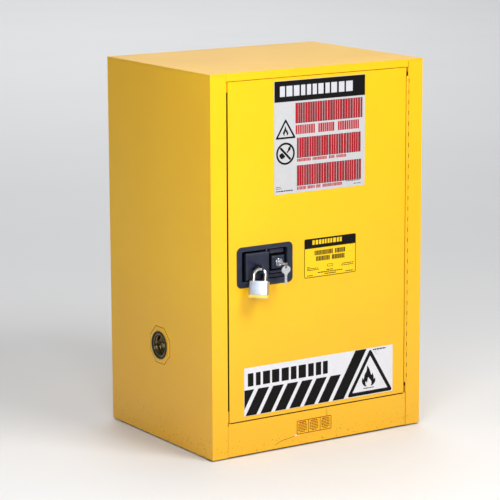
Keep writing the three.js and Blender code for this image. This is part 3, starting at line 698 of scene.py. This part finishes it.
def key_ring():
    """Split ring: two turns of flat-wound wire."""
    bm = bmesh.new()
    turns, steps, wire = 2.0, 96, 0.36
    path = []
    for i in range(steps + 1):
        a = 2 * math.pi * turns * i / steps
        x = LOCK[0] + (i / steps - 0.5) * 0.72
        path.append(at(x, RING_BACK + RING_RADIUS * math.sin(a), RING_Z + RING_RADIUS * math.cos(a)))
    tube(bm, path, wire, 10)
    piece("split_ring", bm, STEEL, "key_ring", ["key_ring"])


handle_dish()
dish_steps()
rivet_heads()
paddle()
lock_housing()
lock_collar()
lock_plug()
inserted_key()
spare_key()
key_ring()


# ---- padlock

PADLOCK_YAW = math.radians(-45)
PADLOCK_LEAN = math.radians(15)
SHACKLE_ROD = 3.65
SHACKLE_HALF = 13.5
SHACKLE_CLEAR = 24.0
BODY_TOP = -27.8
BODY_TALL = 31.0
BODY_WIDTH = 44.0
BODY_THICK = 23.0
BODY_LOW = BODY_TOP - BODY_TALL
BUMPER_TOP = BODY_LOW - 0.3
BUMPER_LOW = BUMPER_TOP - 8.0
PLATES = 16


def hanging(x, y, z):
    """A point given square to the padlock round its own rod, in mm, moved to where it hangs."""
    turn = Matrix.Rotation(PADLOCK_YAW, 3, "Z") @ Matrix.Rotation(-PADLOCK_LEAN, 3, "X")
    return at(EYE[0], EYE[2], EYE[1]) + (turn @ Vector((x, y, z))) * MM


def shackle():
    """Bent round bar whose legs go down into the body, one further than the other."""
    path = []
    free_leg = SHACKLE_CLEAR - SHACKLE_HALF + 16 + SHACKLE_ROD
    held_leg = SHACKLE_CLEAR - SHACKLE_HALF + 20 + SHACKLE_ROD
    for i in range(9):
        path.append(hanging(-SHACKLE_HALF, 0, -SHACKLE_HALF - free_leg * (1 - i / 8)))
    for i in range(1, 40):
        a = math.pi * (1 - i / 40)
        path.append(hanging(SHACKLE_HALF * math.cos(a), 0, -SHACKLE_HALF + SHACKLE_HALF * math.sin(a)))
    for i in range(9):
        path.append(hanging(SHACKLE_HALF, 0, -SHACKLE_HALF - held_leg * i / 8))
    bm = bmesh.new()
    tube(bm, path, SHACKLE_ROD, 32)
    piece("shackle_bar", bm, CHROME, "padlock_shackle", ["padlock_shackle"], 0.4, 3)


def padlock_ring(grow, z):
    """The body's outline at a height on the padlock, grown by this much all round."""
    half_width = BODY_WIDTH / 2 + grow
    half_thick = BODY_THICK / 2 + grow
    outline = rounded(-half_width, half_width, -half_thick, half_thick, max(3.5 + grow, 0.5), 6)
    return [hanging(x, y, z) for x, y in outline]


def padlock_rings(section):
    """Outlines of the padlock for a section given as (grow, z) pairs."""
    return [padlock_ring(grow, z) for grow, z in section]


def padlock_body():
    """A stack of pressed plates with rolled edges, drilled for the shackle."""
    bm = bmesh.new()
    tall = BODY_TALL / PLATES
    section = [(-0.9, BODY_TOP)]
    for i in range(PLATES):
        top = BODY_TOP - i * tall
        section += [(-0.28, top - 0.03), (-0.06, top - 0.2), (0, top - 0.45)]
        section += [(0, top - tall + 0.45), (-0.06, top - tall + 0.2), (-0.28, top - tall + 0.03)]
    section.append((-0.9, BODY_LOW))
    lofted(bm, padlock_rings(section))
    holes = []
    for side in (-1, 1):
        hole = bmesh.new()
        circle = disc(side * SHACKLE_HALF, 0, SHACKLE_ROD + 0.5, 32)
        lofted(hole, [[hanging(x, y, z) for x, y in circle] for z in (BODY_TOP + 1, BODY_TOP - 25)])
        holes.append(hole)
    bm = carved(bm, holes)
    piece("padlock_plates", bm, PADLOCK, "padlock_body", ["padlock_body"], smooth_angle=40)


def padlock_rivets():
    """Rivet heads on the top plate, between the corners and the shackle."""
    bm = bmesh.new()
    up = hanging(0, 0, 1) - hanging(0, 0, 0)
    dome = [(0, 0.75), (1.0, 0.68), (1.7, 0.4), (2.0, -0.05), (0, -0.05)]
    for x in (-18.6, 18.6):
        for y in (-7.6, 7.6):
            turned(bm, dome, hanging(x, y, BODY_TOP), up, 24)
    piece("padlock_rivets", bm, NICKEL, "padlock_body")


def padlock_bumper():
    """Soft vinyl band round the foot of the body."""
    bm = bmesh.new()
    top, low = BUMPER_TOP, BUMPER_LOW
    section = ((0.2, top), (0.9, top - 0.3), (1.2, top - 1.0), (1.2, low + 2.2), (0.9, low + 1.4),
               (0.2, low + 1.1), (-1.6, low + 0.9))
    lofted(bm, padlock_rings(section))
    piece("padlock_band", bm, BUMPER, "padlock_body", ["padlock_bumper"], smooth_angle=50)


def padlock_foot():
    """Rivet ends and the round keyhole plate on the padlock's underside."""
    bm = bmesh.new()
    low = BUMPER_LOW + 0.9
    down = hanging(0, 0, -1) - hanging(0, 0, 0)
    dome = [(0, 0.85), (1.3, 0.75), (2.1, 0.4), (2.4, -0.1), (0, -0.1)]
    for x in (-17.5, -6.0, 6.0, 17.5):
        for y in (-8.0, 8.0):
            turned(bm, dome, hanging(x, y, low), down, 24)
    turned(bm, [(0, 0.5), (4.6, 0.5), (5.0, 0.3), (5.0, -0.1), (0, -0.1)], hanging(0, 0, low), down, 40)
    piece("padlock_foot_rivets", bm, NICKEL, "padlock_body")


shackle()
padlock_body()
padlock_rivets()
padlock_bumper()
padlock_foot()


# ---- piano hinge

HINGE_X = 250.5
HINGE_BACK = -1.2
HINGE_BOTTOM = 112.0
KNUCKLE = 12.7
KNUCKLES = 58
HINGE_TOP = HINGE_BOTTOM + KNUCKLES * KNUCKLE


def hinge_knuckles(name, first, leaf_side, body, node):
    """Every other rolled knuckle, each with softened ends, on the strip that it is rolled from."""
    bm = bmesh.new()
    for i in range(first, KNUCKLES, 2):
        z0 = HINGE_BOTTOM + i * KNUCKLE + 0.16
        z1 = z0 + KNUCKLE - 0.32
        profile = [(1.5, z0), (2.62, z0), (2.88, z0 + 0.1), (2.98, z0 + 0.36), (2.98, z1 - 0.36),
                   (2.88, z1 - 0.1), (2.62, z1), (1.5, z1)]
        turned(bm, profile, at(HINGE_X, HINGE_BACK, 0), (0, 0, 1), 24, closed=True)
    outer = HINGE_X + leaf_side * 2.66
    inner = outer - leaf_side * 1.2
    x0, x1 = sorted((outer, inner))
    for i in range(first, KNUCKLES, 2):
        z0 = HINGE_BOTTOM + i * KNUCKLE + 0.4
        z1 = z0 + KNUCKLE - 0.8
        bar(bm, x0, x1, z0, z1, HINGE_BACK + 0.2, HINGE_BACK + 4.4)
    bar(bm, x0, x1, HINGE_BOTTOM + 0.16, HINGE_TOP - 0.16, HINGE_BACK + 4.2, HINGE_BACK + 25.8)
    piece(name, bm, PAINT, body, [node], smooth_angle=40)


def hinge_pin():
    """Long thin pin with peened ends."""
    bm = bmesh.new()
    low = HINGE_BOTTOM - 2
    high = HINGE_TOP + 1
    profile = [(0, low), (0.7, low), (1.1, low + 0.5), (1.1, high - 0.5), (0.7, high), (0, high)]
    turned(bm, profile, at(HINGE_X, HINGE_BACK, 0), (0, 0, 1), 20)
    piece("hinge_pin_turned", bm, PAINT, "case", ["hinge_pin"])


hinge_knuckles("hinge_case_knuckles", 0, 1, "case", "hinge_frame_leaf")
hinge_knuckles("hinge_door_knuckles", 1, -1, "door", "hinge_door_leaf")
hinge_pin()


# ---- printed labels

LABEL_FACE = -0.6
INK = 0.02

def spot(across, down):
    """A point on the front, in mm from the case's left edge and from its top, as (x, z)."""
    return (across - CASE_HALF, CASE_TALL - down)


def quad(a0, a1, d0, d1, radius=0.0):
    """A rectangle from across a0 to a1 and down d0 to d1, with corners rounded if a radius is given."""
    x0, z1 = spot(a0, d0)
    x1, z0 = spot(a1, d1)
    if radius:
        return rounded(x0, x1, z0, z1, radius, 5)
    return [(x0, z0), (x1, z0), (x1, z1), (x0, z1)]


BOLD = {"stem": (3.4, 5.4), "gap": (2.3, 2.9)}
MEDIUM = {"stem": (3.6, 5.4), "gap": (1.1, 1.5)}
SMALL = {"stem": (2.0, 3.4), "gap": (0.8, 1.2)}
PLAIN = {"stem": (2.2, 3.6), "gap": (0.9, 1.3)}


class Label:
    """A film on the front of the cabinet, with flat areas of ink printed on it in layers."""

    def __init__(self, outline, inks):
        self.bm = bmesh.new()
        self.inks = inks
        slab(self.bm, outline, LABEL_FACE, -0.3, 0)

    def ink(self, outline, index, layer=1):
        slab(self.bm, outline, LABEL_FACE - INK * layer, LABEL_FACE + 0.01, index)

    def words(self, groups, d0, d1, index, layer, stem, gap, shadow=None):
        """Rows of plain upright bars that stand in for lettering. groups are (from, to) pairs."""
        for a0, a1 in groups:
            at_x = a0
            while at_x < a1 - stem[0]:
                width = min(random.uniform(*stem), a1 - at_x)
                if shadow is not None:
                    self.ink(quad(at_x - 0.5, at_x + width + 1.2, d0 - 0.5, d1 + 1.2), shadow, layer)
                self.ink(quad(at_x, at_x + width, d0, d1), index, layer + 1)
                at_x += width + random.uniform(*gap)

    def lines(self, groups, tall, index, layer=1):
        """Short rules that stand in for small print. groups are (from, to, down) triples."""
        for a0, a1, down in groups:
            at_x = a0
            while at_x < a1 - 1.0:
                width = min(random.uniform(3.0, 8.0), a1 - at_x)
                self.ink(quad(at_x, at_x + width, down, down + tall), index, layer)
                at_x += width + 1.0

    def made(self, name, body, node, slot):
        piece(name, self.bm, self.inks, body, [node])


def placed(points, centre, width, tall):
    """Points of a unit drawing, scaled and moved so that its foot stands at centre."""
    cx, cz = centre
    return [(cx + u * width, cz + v * tall) for u, v in points]


def smooth_outline(points, steps=5):
    """A closed curve through the points, for drawings with soft edges."""
    out = []
    count = len(points)
    for i in range(count):
        p0, p1, p2, p3 = (Vector(points[(i + k) % count]) for k in (-1, 0, 1, 2))
        for s in range(steps):
            t = s / steps
            q = 0.5 * (2 * p1 + (p2 - p0) * t + (2 * p0 - 5 * p1 + 4 * p2 - p3) * t * t
                       + (3 * p1 - p0 - 3 * p2 + p3) * t * t * t)
            out.append((q.x, q.y))
    return out


FLAME = ((-0.20, 0.0), (-0.40, 0.10), (-0.50, 0.28), (-0.43, 0.46), (-0.37, 0.36), (-0.30, 0.58),
         (-0.16, 0.76), (-0.10, 1.0), (0.05, 0.82), (0.14, 0.62), (0.22, 0.52), (0.27, 0.62), (0.36, 0.44),
         (0.38, 0.30), (0.47, 0.36), (0.48, 0.18), (0.36, 0.06), (0.20, 0.0))
FLAME_HEART = ((-0.12, 0.0), (-0.23, 0.12), (-0.22, 0.26), (-0.12, 0.20), (-0.04, 0.44), (0.08, 0.34),
               (0.18, 0.24), (0.20, 0.10), (0.12, 0.0))


def flame(label, across, foot_down, width, tall, index, heart, layer):
    """A plain flame drawn as two leaf-like shapes, one inside the other."""
    foot = spot(across, foot_down)
    label.ink(placed(smooth_outline(FLAME), foot, width, tall), index, layer)
    label.ink(placed(smooth_outline(FLAME_HEART), (foot[0], foot[1] - 0.2), width, tall), heart, layer + 1)


def triangle(across, apex_down, foot_down, half, radius):
    """An upright triangle with rounded corners."""
    corners = [Vector(spot(across, apex_down)), Vector(spot(across - half, foot_down)),
               Vector(spot(across + half, foot_down))]
    out = []
    for i in range(3):
        here, before, after = corners[i], corners[i - 1], corners[(i + 1) % 3]
        back = (before - here).normalized()
        ahead = (after - here).normalized()
        start = here + back * radius * 1.7
        stop = here + ahead * radius * 1.7
        for s in range(7):
            t = s / 6
            q = start * (1 - t) ** 2 + here * 2 * t * (1 - t) + stop * t * t
            out.append((q.x, q.y))
    return out


def match_sign(label, hub, paper, ink):
    """A round prohibition sign: a hand that holds a lit match, crossed out by a bar with a pale edge."""
    label.ink(disc(*hub, 25.6, 56), ink, 1)
    label.ink(disc(*hub, 20.8, 56), paper, 2)
    label.ink([spot(197, 195.4), spot(199.4, 197.8), spot(212, 187.2), spot(209.6, 184.8)], ink, 3)
    x, z = spot(211, 184)
    fire = [(-3.2, -2), (-2, 3.5), (3.5, 8), (4.2, 1), (1, -3.2)]
    label.ink(smooth_outline([(x + u, z + v) for u, v in fire], 4), ink, 3)
    hand = [(184, 197), (190, 191.5), (197, 191), (201, 196), (198, 202), (190, 205)]
    label.ink(smooth_outline([spot(a, d) for a, d in hand], 5), ink, 3)
    label.ink([spot(184.0, 182.6), spot(190.0, 176.6), spot(218.0, 204.6), spot(212.0, 210.6)], paper, 4)
    label.ink([spot(184.9, 181.3), spot(188.7, 177.5), spot(217.1, 205.9), spot(213.3, 209.7)], ink, 5)


def fire_warning_label():
    """The large label: a black heading, red rows in three sizes, and two round-cornered signs."""
    paper, black, red, light = range(4)
    label = Label(quad(170, 423.5, 26.5, 286.5, 2), [INK_GREY, INK_BLACK, INK_RED, INK_LIGHT])
    label.ink(quad(171.2, 423.5, 27.3, 75, 0.6), black)
    label.words([(186, 391)], 39, 63, light, 2, (11, 19), (4, 5.5))
    label.words([(229, 415)], 80, 125, red, 1, **BOLD, shadow=black)
    label.words([(229, 286), (292, 341), (347, 411)], 130.5, 151.5, red, 1, **MEDIUM)
    label.words([(233, 412)], 160, 205, red, 1, **BOLD, shadow=black)
    label.words([(233, 272), (276, 318), (322, 339), (343, 373)], 208, 215, red, 1, **SMALL)
    label.words([(233, 412)], 224, 269.5, red, 1, **BOLD, shadow=black)
    label.words([(233, 258), (262, 282), (286, 300), (304, 359)], 272.5, 280, red, 1, **SMALL)
    label.lines([(175, 189, 268.5), (175, 190, 272.5), (371, 410, 271.5), (392, 412, 279)], 1.5, black)
    label.lines([(175, 221, 278)], 2.4, black)
    label.ink(triangle(201.5, 113, 159.5, 28.5, 2.6), black, 1)
    label.ink(triangle(201.5, 121.5, 155.2, 20.6, 1.2), paper, 2)
    flame(label, 201.5, 152, 15, 22, black, paper, 3)
    match_sign(label, spot(201, 193.5), paper, black)
    label.made("fire_warning_print", "door", "fire_warning_label", "white_label")


def contents_label():
    """The small label: a black heading and frame on yellow, rows of bars, and a ruled box."""
    paper, black = range(2)
    label = Label(quad(252.5, 400, 397.5, 491, 4), [INK_YELLOW, INK_BLACK])
    label.ink(quad(253.3, 399.2, 398.3, 490.2, 3.4), black, 1)
    label.ink(quad(254.9, 397.6, 399.9, 488.6, 2.2), paper, 2)
    label.ink(quad(253.3, 399.2, 398.3, 419.5, 3.4), black, 3)
    label.ink(quad(254.4, 398.1, 416.5, 421.5, 1.2), black, 4)
    label.words([(276, 362)], 402.5, 413, paper, 5, (5, 8), (2, 3))
    label.words([(282, 335), (340, 371)], 427.5, 438.5, black, 3, **PLAIN)
    label.words([(286, 327), (331, 368)], 441.5, 452.5, black, 3, **PLAIN)
    upper = [(261, 269, 464.5), (261, 292, 468), (261, 294, 471.5), (360, 394, 465), (358, 392, 469)]
    label.lines(upper, 1.7, black, 3)
    lower = [(316, 336, 474.8), (291, 361, 479), (310, 343, 483.5), (261, 277, 484), (370, 392, 484)]
    label.lines(lower, 2.1, black, 3)
    label.lines([(382, 392, 422.6)], 0.9, black, 3)
    label.ink(quad(318, 334, 462.5, 468.5, 1), black, 3)
    label.ink(quad(319, 333, 463.4, 467.6, 0.6), paper, 4)
    label.made("contents_print", "door", "contents_label", "yellow_label")


def hazard_stripe_label():
    """The wide label: slanting black stripes, a heading of bars, and a flame in a triangle."""
    paper, black, grey = range(3)
    label = Label(quad(86, 509.5, 680.5, 794.5, 2), [INK_WHITE, INK_BLACK, INK_GREY])
    slope = 36.5 / 62.0
    band_top, band_low = 732.8, 793.9

    def stripe(a0, a1, top):
        fall = (band_low - top) * slope
        return [spot(a0, top), spot(a1, top), spot(a1 - fall, band_low), spot(a0 - fall, band_low)]

    label.ink([spot(86.6, band_top), spot(113.3, band_top), spot(86.6, band_top + 26.7 / slope)], black)
    for i in range(6):
        label.ink(stripe(125.2 + 40.6 * i, 155.1 + 40.6 * i, band_top), black)
    label.ink(stripe(400.2, 432.4, 681.1), black)
    label.words([(96, 336)], 694, 725, black, 1, (13, 21), (5, 7))
    label.ink(triangle(443, 681.5, 793.0, 67, 5.2), black, 1)
    label.ink(triangle(443, 699.0, 784.0, 51.5, 1.0), paper, 2)
    flame(label, 439, 773, 40, 50, black, paper, 3)
    label.lines([(424, 455, 776.2)], 2.2, black, 3)
    label.lines([(451, 489, 684.2)], 3.0, black)
    label.lines([(454, 468, 689.5), (455, 463, 693.3), (458, 468, 697.0)], 1.6, grey)
    label.made("hazard_stripe_print", "door", "hazard_stripe_label", "white_label")


def sill_label():
    """The label on the sill: a frame with three columns, each a red row over six brown ones."""
    paper, brown, red = range(3)
    label = Label(quad(232, 331, 827, 860.5, 2), [INK_AMBER, INK_BROWN, INK_RED])
    label.ink(quad(232.4, 330.6, 827.4, 860.1, 2.6), brown, 1)
    label.ink(quad(233.9, 329.1, 828.9, 858.6, 1.6), paper, 2)
    for across in (264.6, 297.8):
        label.ink(quad(across, across + 1.4, 828, 859.5), brown, 3)
    for left in (234.5, 267.0, 300.2):
        middle = left + 14
        label.lines([(middle - 9.5, middle + 9.5, 830.6)], 3.2, red, 3)
        for row in range(6):
            half = 12.2 if row < 5 else 7.0
            label.lines([(middle - half, middle + half, 835.4 + row * 3.7)], 1.9, brown, 3)
    label.made("sill_print", "case", "sill_label", "brown_label")


fire_warning_label()
contents_label()
hazard_stripe_label()
sill_label()


# ---- side vents

VENT_BACK, VENT_Z = 228.5, 230.0
VENT_CENTRE = at(0, VENT_BACK, VENT_Z)
VENT_LIP = 33.5
VENT_BORE = 28.8
VENT_TUBE = 31.0
BOSS_OUT = 1.5
INNER_WALL = 256.3


def vent_ring(side, word):
    """Threaded neck with a rolled lip outside, running in to the inner wall."""
    bm = bmesh.new()
    lip = CASE_HALF + BOSS_OUT + 0.3
    bore = VENT_BORE + 0.02
    profile = [(VENT_BORE + 0.2, INNER_WALL - 4), (VENT_TUBE, INNER_WALL - 4), (VENT_TUBE, lip),
               (VENT_LIP - 0.4, lip), (VENT_LIP, lip + 0.5), (VENT_LIP - 0.1, lip + 1.6),
               (VENT_LIP - 0.8, lip + 2.6), (VENT_LIP - 1.8, lip + 3.0), (VENT_BORE + 1.2, lip + 3.0),
               (VENT_BORE + 0.4, lip + 2.7), (bore, lip + 2.0)]
    for i in range(9):
        start = lip - 8.0 - i * 2.6
        groove = VENT_BORE + 0.6
        profile += [(bore, start + 1.9), (groove, start + 1.3), (groove, start + 0.6), (bore, start)]
    turned(bm, profile, VENT_CENTRE, (side, 0, 0), 96, closed=True)
    piece("vent_ring_" + word, bm, BLACK, "case", ["vent_flange_" + word], smooth_angle=40)


def vent_stop(side, word):
    """Thin ring inside the neck that the flame arrester and the cap rest on."""
    bm = bmesh.new()
    low, high = INNER_WALL + 8.1, INNER_WALL + 9.8
    profile = [(VENT_BORE - 4, low), (VENT_BORE - 0.1, low), (VENT_BORE - 0.1, high), (VENT_BORE - 4, high)]
    turned(bm, profile, VENT_CENTRE, (side, 0, 0), 64, closed=True)
    piece("vent_stop_" + word, bm, BLACK, "case")


def vent_screen(side, word):
    """Pleated metal mesh of the flame arrester, in rings."""
    bm = bmesh.new()
    profile = [(0, INNER_WALL + 5.2)]
    rim = VENT_BORE - 1.2
    count = 26
    for i in range(count + 1):
        r = rim * i / count
        profile.append((max(r, 0.05), INNER_WALL + (7.2 if i % 2 else 6.2)))
    profile.append((rim, INNER_WALL + 5.2))
    turned(bm, profile, VENT_CENTRE, (side, 0, 0), 72)
    piece("vent_screen_" + word, bm, BRASS, "case", ["flame_arrester_" + word], smooth_angle=20)


def vent_cap(side, word):
    """Screw-in cap: a stepped cup with a bright rim, and a bar across it to turn it by."""
    bm = bmesh.new()
    edge = CASE_HALF + 2.4
    floor_at = INNER_WALL + 26
    r = VENT_BORE - 0.75
    outside = [(0, INNER_WALL + 10.6), (r - 1.0, INNER_WALL + 10.6), (r, INNER_WALL + 11.6), (r, edge - 0.7)]
    rim = [(r - 0.25, edge - 0.2), (r - 0.8, edge), (r - 2.2, edge), (r - 2.9, edge - 0.35),
           (r - 3.3, edge - 1.2)]
    inside = [(r - 3.5, edge - 5.0), (r - 4.4, edge - 5.6), (r - 4.8, edge - 6.4), (r - 5.0, floor_at + 2.2),
              (r - 5.8, floor_at + 0.7), (r - 7.2, floor_at), (r - 11.5, floor_at),
              (r - 12.2, floor_at + 0.8), (r - 13.6, floor_at + 0.8), (r - 14.3, floor_at), (5.0, floor_at),
              (4.2, floor_at - 0.9), (0, floor_at - 0.9)]
    profile = outside + rim + inside
    turned(bm, profile, VENT_CENTRE, (side, 0, 0), 96)
    grip = bmesh.new()
    half = r - 4.4
    rings = []
    for out, tall in ((floor_at - 2, 3.9), (edge - 13, 3.4), (edge - 11.8, 3.1), (edge - 11.2, 2.2)):
        section = ((-half, -tall), (half, -tall), (half, tall), (-half, tall))
        rings.append([at(side * out, VENT_BACK + v, VENT_Z + w) for v, w in section])
    lofted(grip, rings)
    bm = carved(bm, [], [grip])
    cap = "vent_cap_" + word
    piece("vent_cap_turned_" + word, bm, CAP_STEEL, cap, [cap], 0.25, 2)


def boss_shadow_line(side, word):
    """Fine dark line of painted shadow where the eight-sided boss meets the side panel."""
    bm = bmesh.new()
    path = []
    for i in range(8):
        a = math.radians(22.5 + 45 * i)
        path.append(at(side * (CASE_HALF + 0.1), VENT_BACK + 47.4 * math.cos(a), VENT_Z + 47.4 * math.sin(a)))
    tube(bm, path, 0.5, 8, closed=True)
    piece("boss_shadow_line_" + word, bm, SEAM_AND_SHADOW, "case")


for vent_side, vent_word in ((-1, "left"), (1, "right")):
    vent_ring(vent_side, vent_word)
    vent_stop(vent_side, vent_word)
    vent_screen(vent_side, vent_word)
    vent_cap(vent_side, vent_word)
    boss_shadow_line(vent_side, vent_word)


# ---- strips that close the ends of the door gap

UPRIGHT_EDGE = -253.6
TONGUE_EDGE = -251.2  # stops here to stay clear of the opening door
DOOR_EDGE = -249.0
DOOR_LOW, DOOR_HIGH = 113, 846


def gap_strips():
    """Painted tongues of the frame behind the door's left edge, over and under the open part of the gap."""
    bm = bmesh.new()
    for low, high in ((846.8, 869.0), (86.0, 112.4)):
        bar(bm, UPRIGHT_EDGE, TONGUE_EDGE, low, high, 1.6, 9.0)
    piece("gap_strips", bm, PAINT, "case", bevel=0.5)


gap_strips()


# ---- painted gap shade, seams and wear

SEAM_FACE = -0.05
GAP_SHADE_BACK = 12


def door_gap_shade():
    """Thin dark strip of painted shade down the latch edge of the door, in the gap, with a wider block of it
    at each end.
    """
    bm = bmesh.new()
    bar(bm, DOOR_EDGE - 0.9, DOOR_EDGE, DOOR_LOW, DOOR_HIGH, 1.1, GAP_SHADE_BACK)
    for low, high in ((DOOR_LOW, DOOR_LOW + 5.5), (DOOR_HIGH - 7, DOOR_HIGH)):
        bar(bm, DOOR_EDGE - 2.4, DOOR_EDGE - 0.2, low, high, 0.5, GAP_SHADE_BACK)
    piece("door_gap_shade", bm, SHADE, "door", bevel=0.25)


def sill_gap_shade():
    """Dark strip of painted shade on the sill rail, in the gap under the door."""
    bm = bmesh.new()
    bar(bm, -247.5, 246, 82.2, 84.4, -0.06, GAP_SHADE_BACK)
    piece("sill_gap_shade", bm, SHADE, "case", bevel=0.2)


def frame_seams_and_shadows():
    """Dark joint lines where the rails of the frame meet its uprights, and painted shadow beside the hinge: a
    long line and a row of dashes.
    """
    bm = bmesh.new()
    # across from and to, then down from and to; the last row is a line of painted shadow beside the hinge
    lines = ((548.5, 549.5, 4.0, 19.5), (548.6, 549.9, 803.0, 885.0), (41.4, 43.2, 803.6, 812.0),
             (41.7, 42.1, 812.0, 885.0), (41.7, 42.1, 4.0, 19.5), (550.5, 550.9, 46.0, 776.0))
    for a0, a1, d0, d1 in lines:
        slab(bm, quad(a0, a1, d0, d1), SEAM_FACE, 0.3)
    # dashes of painted shadow where the knuckles meet the upright
    for i in range(KNUCKLES // 2):
        top = 46.0 + i * 2 * KNUCKLE
        slab(bm, quad(550.5, 552.2, top, top + 10.0), SEAM_FACE, 0.3)
    piece("frame_seams_and_shadows", bm, SEAM_AND_SHADOW, "case")


def hinge_valley():
    """Fine dark line of painted shade on the door's face, in the corner beside the hinge barrel."""
    bm = bmesh.new()
    slab(bm, quad(542.2, 542.8, 41.5, 776.0), SEAM_FACE, 0.3)
    piece("hinge_valley", bm, SEAM_AND_SHADOW, "door")


def hinge_gap_shades():
    """Small dark blocks of painted shade in the gap between door and upright, over and under the hinge."""
    bm = bmesh.new()
    for low, high in ((850.5, 858.5), (101.5, 109.0)):
        bar(bm, 248.0, 253.2, low, high, 0.6, 9)
    piece("hinge_gap_shades", bm, SHADE, "case", bevel=0.4)


def wear():
    """A long shallow scratch and a few chips in the paint low on the front rail."""
    bm = bmesh.new()
    scratch = [(171, 876), (180, 871.5), (190, 868), (200, 866.2), (212, 865), (224, 862.5)]
    for (a0, d0), (a1, d1) in zip(scratch, scratch[1:]):
        outline = [spot(a0, d0 + 0.9), spot(a1, d1 + 0.7), spot(a1, d1 - 0.3), spot(a0, d0 - 0.1)]
        slab(bm, outline, SEAM_FACE, 0.2)
    for _ in range(60):
        a, d = random.uniform(4, 587), random.uniform(862, 884)
        if 228 < a < 335 or random.random() < (d - 862) / 40:
            continue
        half = random.uniform(0.4, 1.1)
        slab(bm, quad(a - half, a + half, d - half * 0.6, d + half * 0.6), SEAM_FACE - 0.01, 0.2)
    chips = ([(226, 860.5), (229, 859), (233, 860), (235.5, 862.4), (230, 863.4)],
             [(236, 864), (239, 863), (240, 865)])
    for chip in chips:
        slab(bm, [spot(a, d) for a, d in chip], SEAM_FACE - 0.01, 0.2, 1)
    piece("paint_wear", bm, [SEAM_AND_SHADOW, INK_WHITE], "case")


door_gap_shade()
sill_gap_shade()
frame_seams_and_shadows()
hinge_valley()
hinge_gap_shades()
wear()


# ---- floor, lights and camera

def floor():
    """A pale grey floor whose edge lies far outside the view."""
    bm = bmesh.new()
    bmesh.ops.create_grid(bm, x_segments=8, y_segments=8, size=30)
    bmesh.ops.translate(bm, verts=bm.verts, vec=(0, 0, -0.0002))
    m = Nodes("floor")
    m.set(Base_Color=m.mix(m.noise(1.5, 3), srgb(226, 227, 229), srgb(232, 232, 233)))
    m.shader.inputs["Roughness"].default_value = 0.62
    m.bump(m.noise(60, 3), 0.0003, 0.2)
    made = finish_mesh("floor", bm, [m.material])


def lamp(name, place, target, width, height, power, color=(1, 1, 1)):
    """A rectangular soft lamp that faces the target."""
    light = bpy.data.lights.new(name, "AREA")
    light.shape = "RECTANGLE"
    light.size = width
    light.size_y = height
    light.energy = power
    light.color = color
    made = bpy.data.objects.new(name, light)
    bpy.context.scene.collection.objects.link(made)
    made.location = place
    made.rotation_euler = (Vector(target) - Vector(place)).to_track_quat("-Z", "Y").to_euler()


def studio():
    """A key lamp high in front, one near on the left, one overhead, two over the floor far behind it,
    and even light from all round."""
    world = bpy.data.worlds.new("studio")
    world.use_nodes = True
    background = world.node_tree.nodes["Background"]
    background.inputs["Color"].default_value = (0.95, 0.97, 1.0, 1.0)
    background.inputs["Strength"].default_value = 0.23
    bpy.context.scene.world = world
    lamp("key", (0.6, -2.15, 2.6), (0, -0.2, 0.6), 1.2, 1.2, 63, (1.0, 0.985, 0.96))
    lamp("near_left", (-1.05, -1.25, 1.15), (-0.3, -0.1, 0.62), 0.7, 0.7, 14.5)
    lamp("overhead", (0, 0.2, 3.4), (0, 0, 0.5), 2.0, 2.0, 16)
    lamp("backdrop", (2.6, 4.6, 4.5), (2.6, 4.7, 0), 6.0, 6.0, 120)
    lamp("backdrop_far", (5.5, 11.0, 6.0), (5.5, 11.1, 0), 9.0, 9.0, 420)


CAMERA_PLACE = Vector((-2.959, -4.436, 1.485))
CAMERA_AZIMUTH = math.radians(-33.16)
CAMERA_ELEVATION = math.radians(11.20)
CAMERA_ROLL = math.radians(-0.24)
CAMERA_LENS = 163.66
SENSOR = 36.0


def camera():
    """A long lens to the left of the door, a little above the cabinet's top, looking slightly down."""
    a, e, r = CAMERA_AZIMUTH, CAMERA_ELEVATION, CAMERA_ROLL
    back = Vector((math.sin(a) * math.cos(e), -math.cos(a) * math.cos(e), math.sin(e)))
    level = Vector((math.cos(a), math.sin(a), 0))
    upward = back.cross(level)
    right = level * math.cos(r) + upward * math.sin(r)
    up = upward * math.cos(r) - level * math.sin(r)
    data = bpy.data.cameras.new("camera")
    data.sensor_width = SENSOR
    data.lens = CAMERA_LENS
    data.clip_end = 200
    data.dof.use_dof = False
    made = bpy.data.objects.new("camera", data)
    bpy.context.scene.collection.objects.link(made)
    made.matrix_world = Matrix.Translation(CAMERA_PLACE) @ Matrix((
        (right.x, up.x, back.x, 0),
        (right.y, up.y, back.y, 0),
        (right.z, up.z, back.z, 0),
        (0, 0, 0, 1),
    ))
    bpy.context.scene.camera = made


floor()
studio()
camera()
bpy.context.scene.view_settings.view_transform = "Standard"
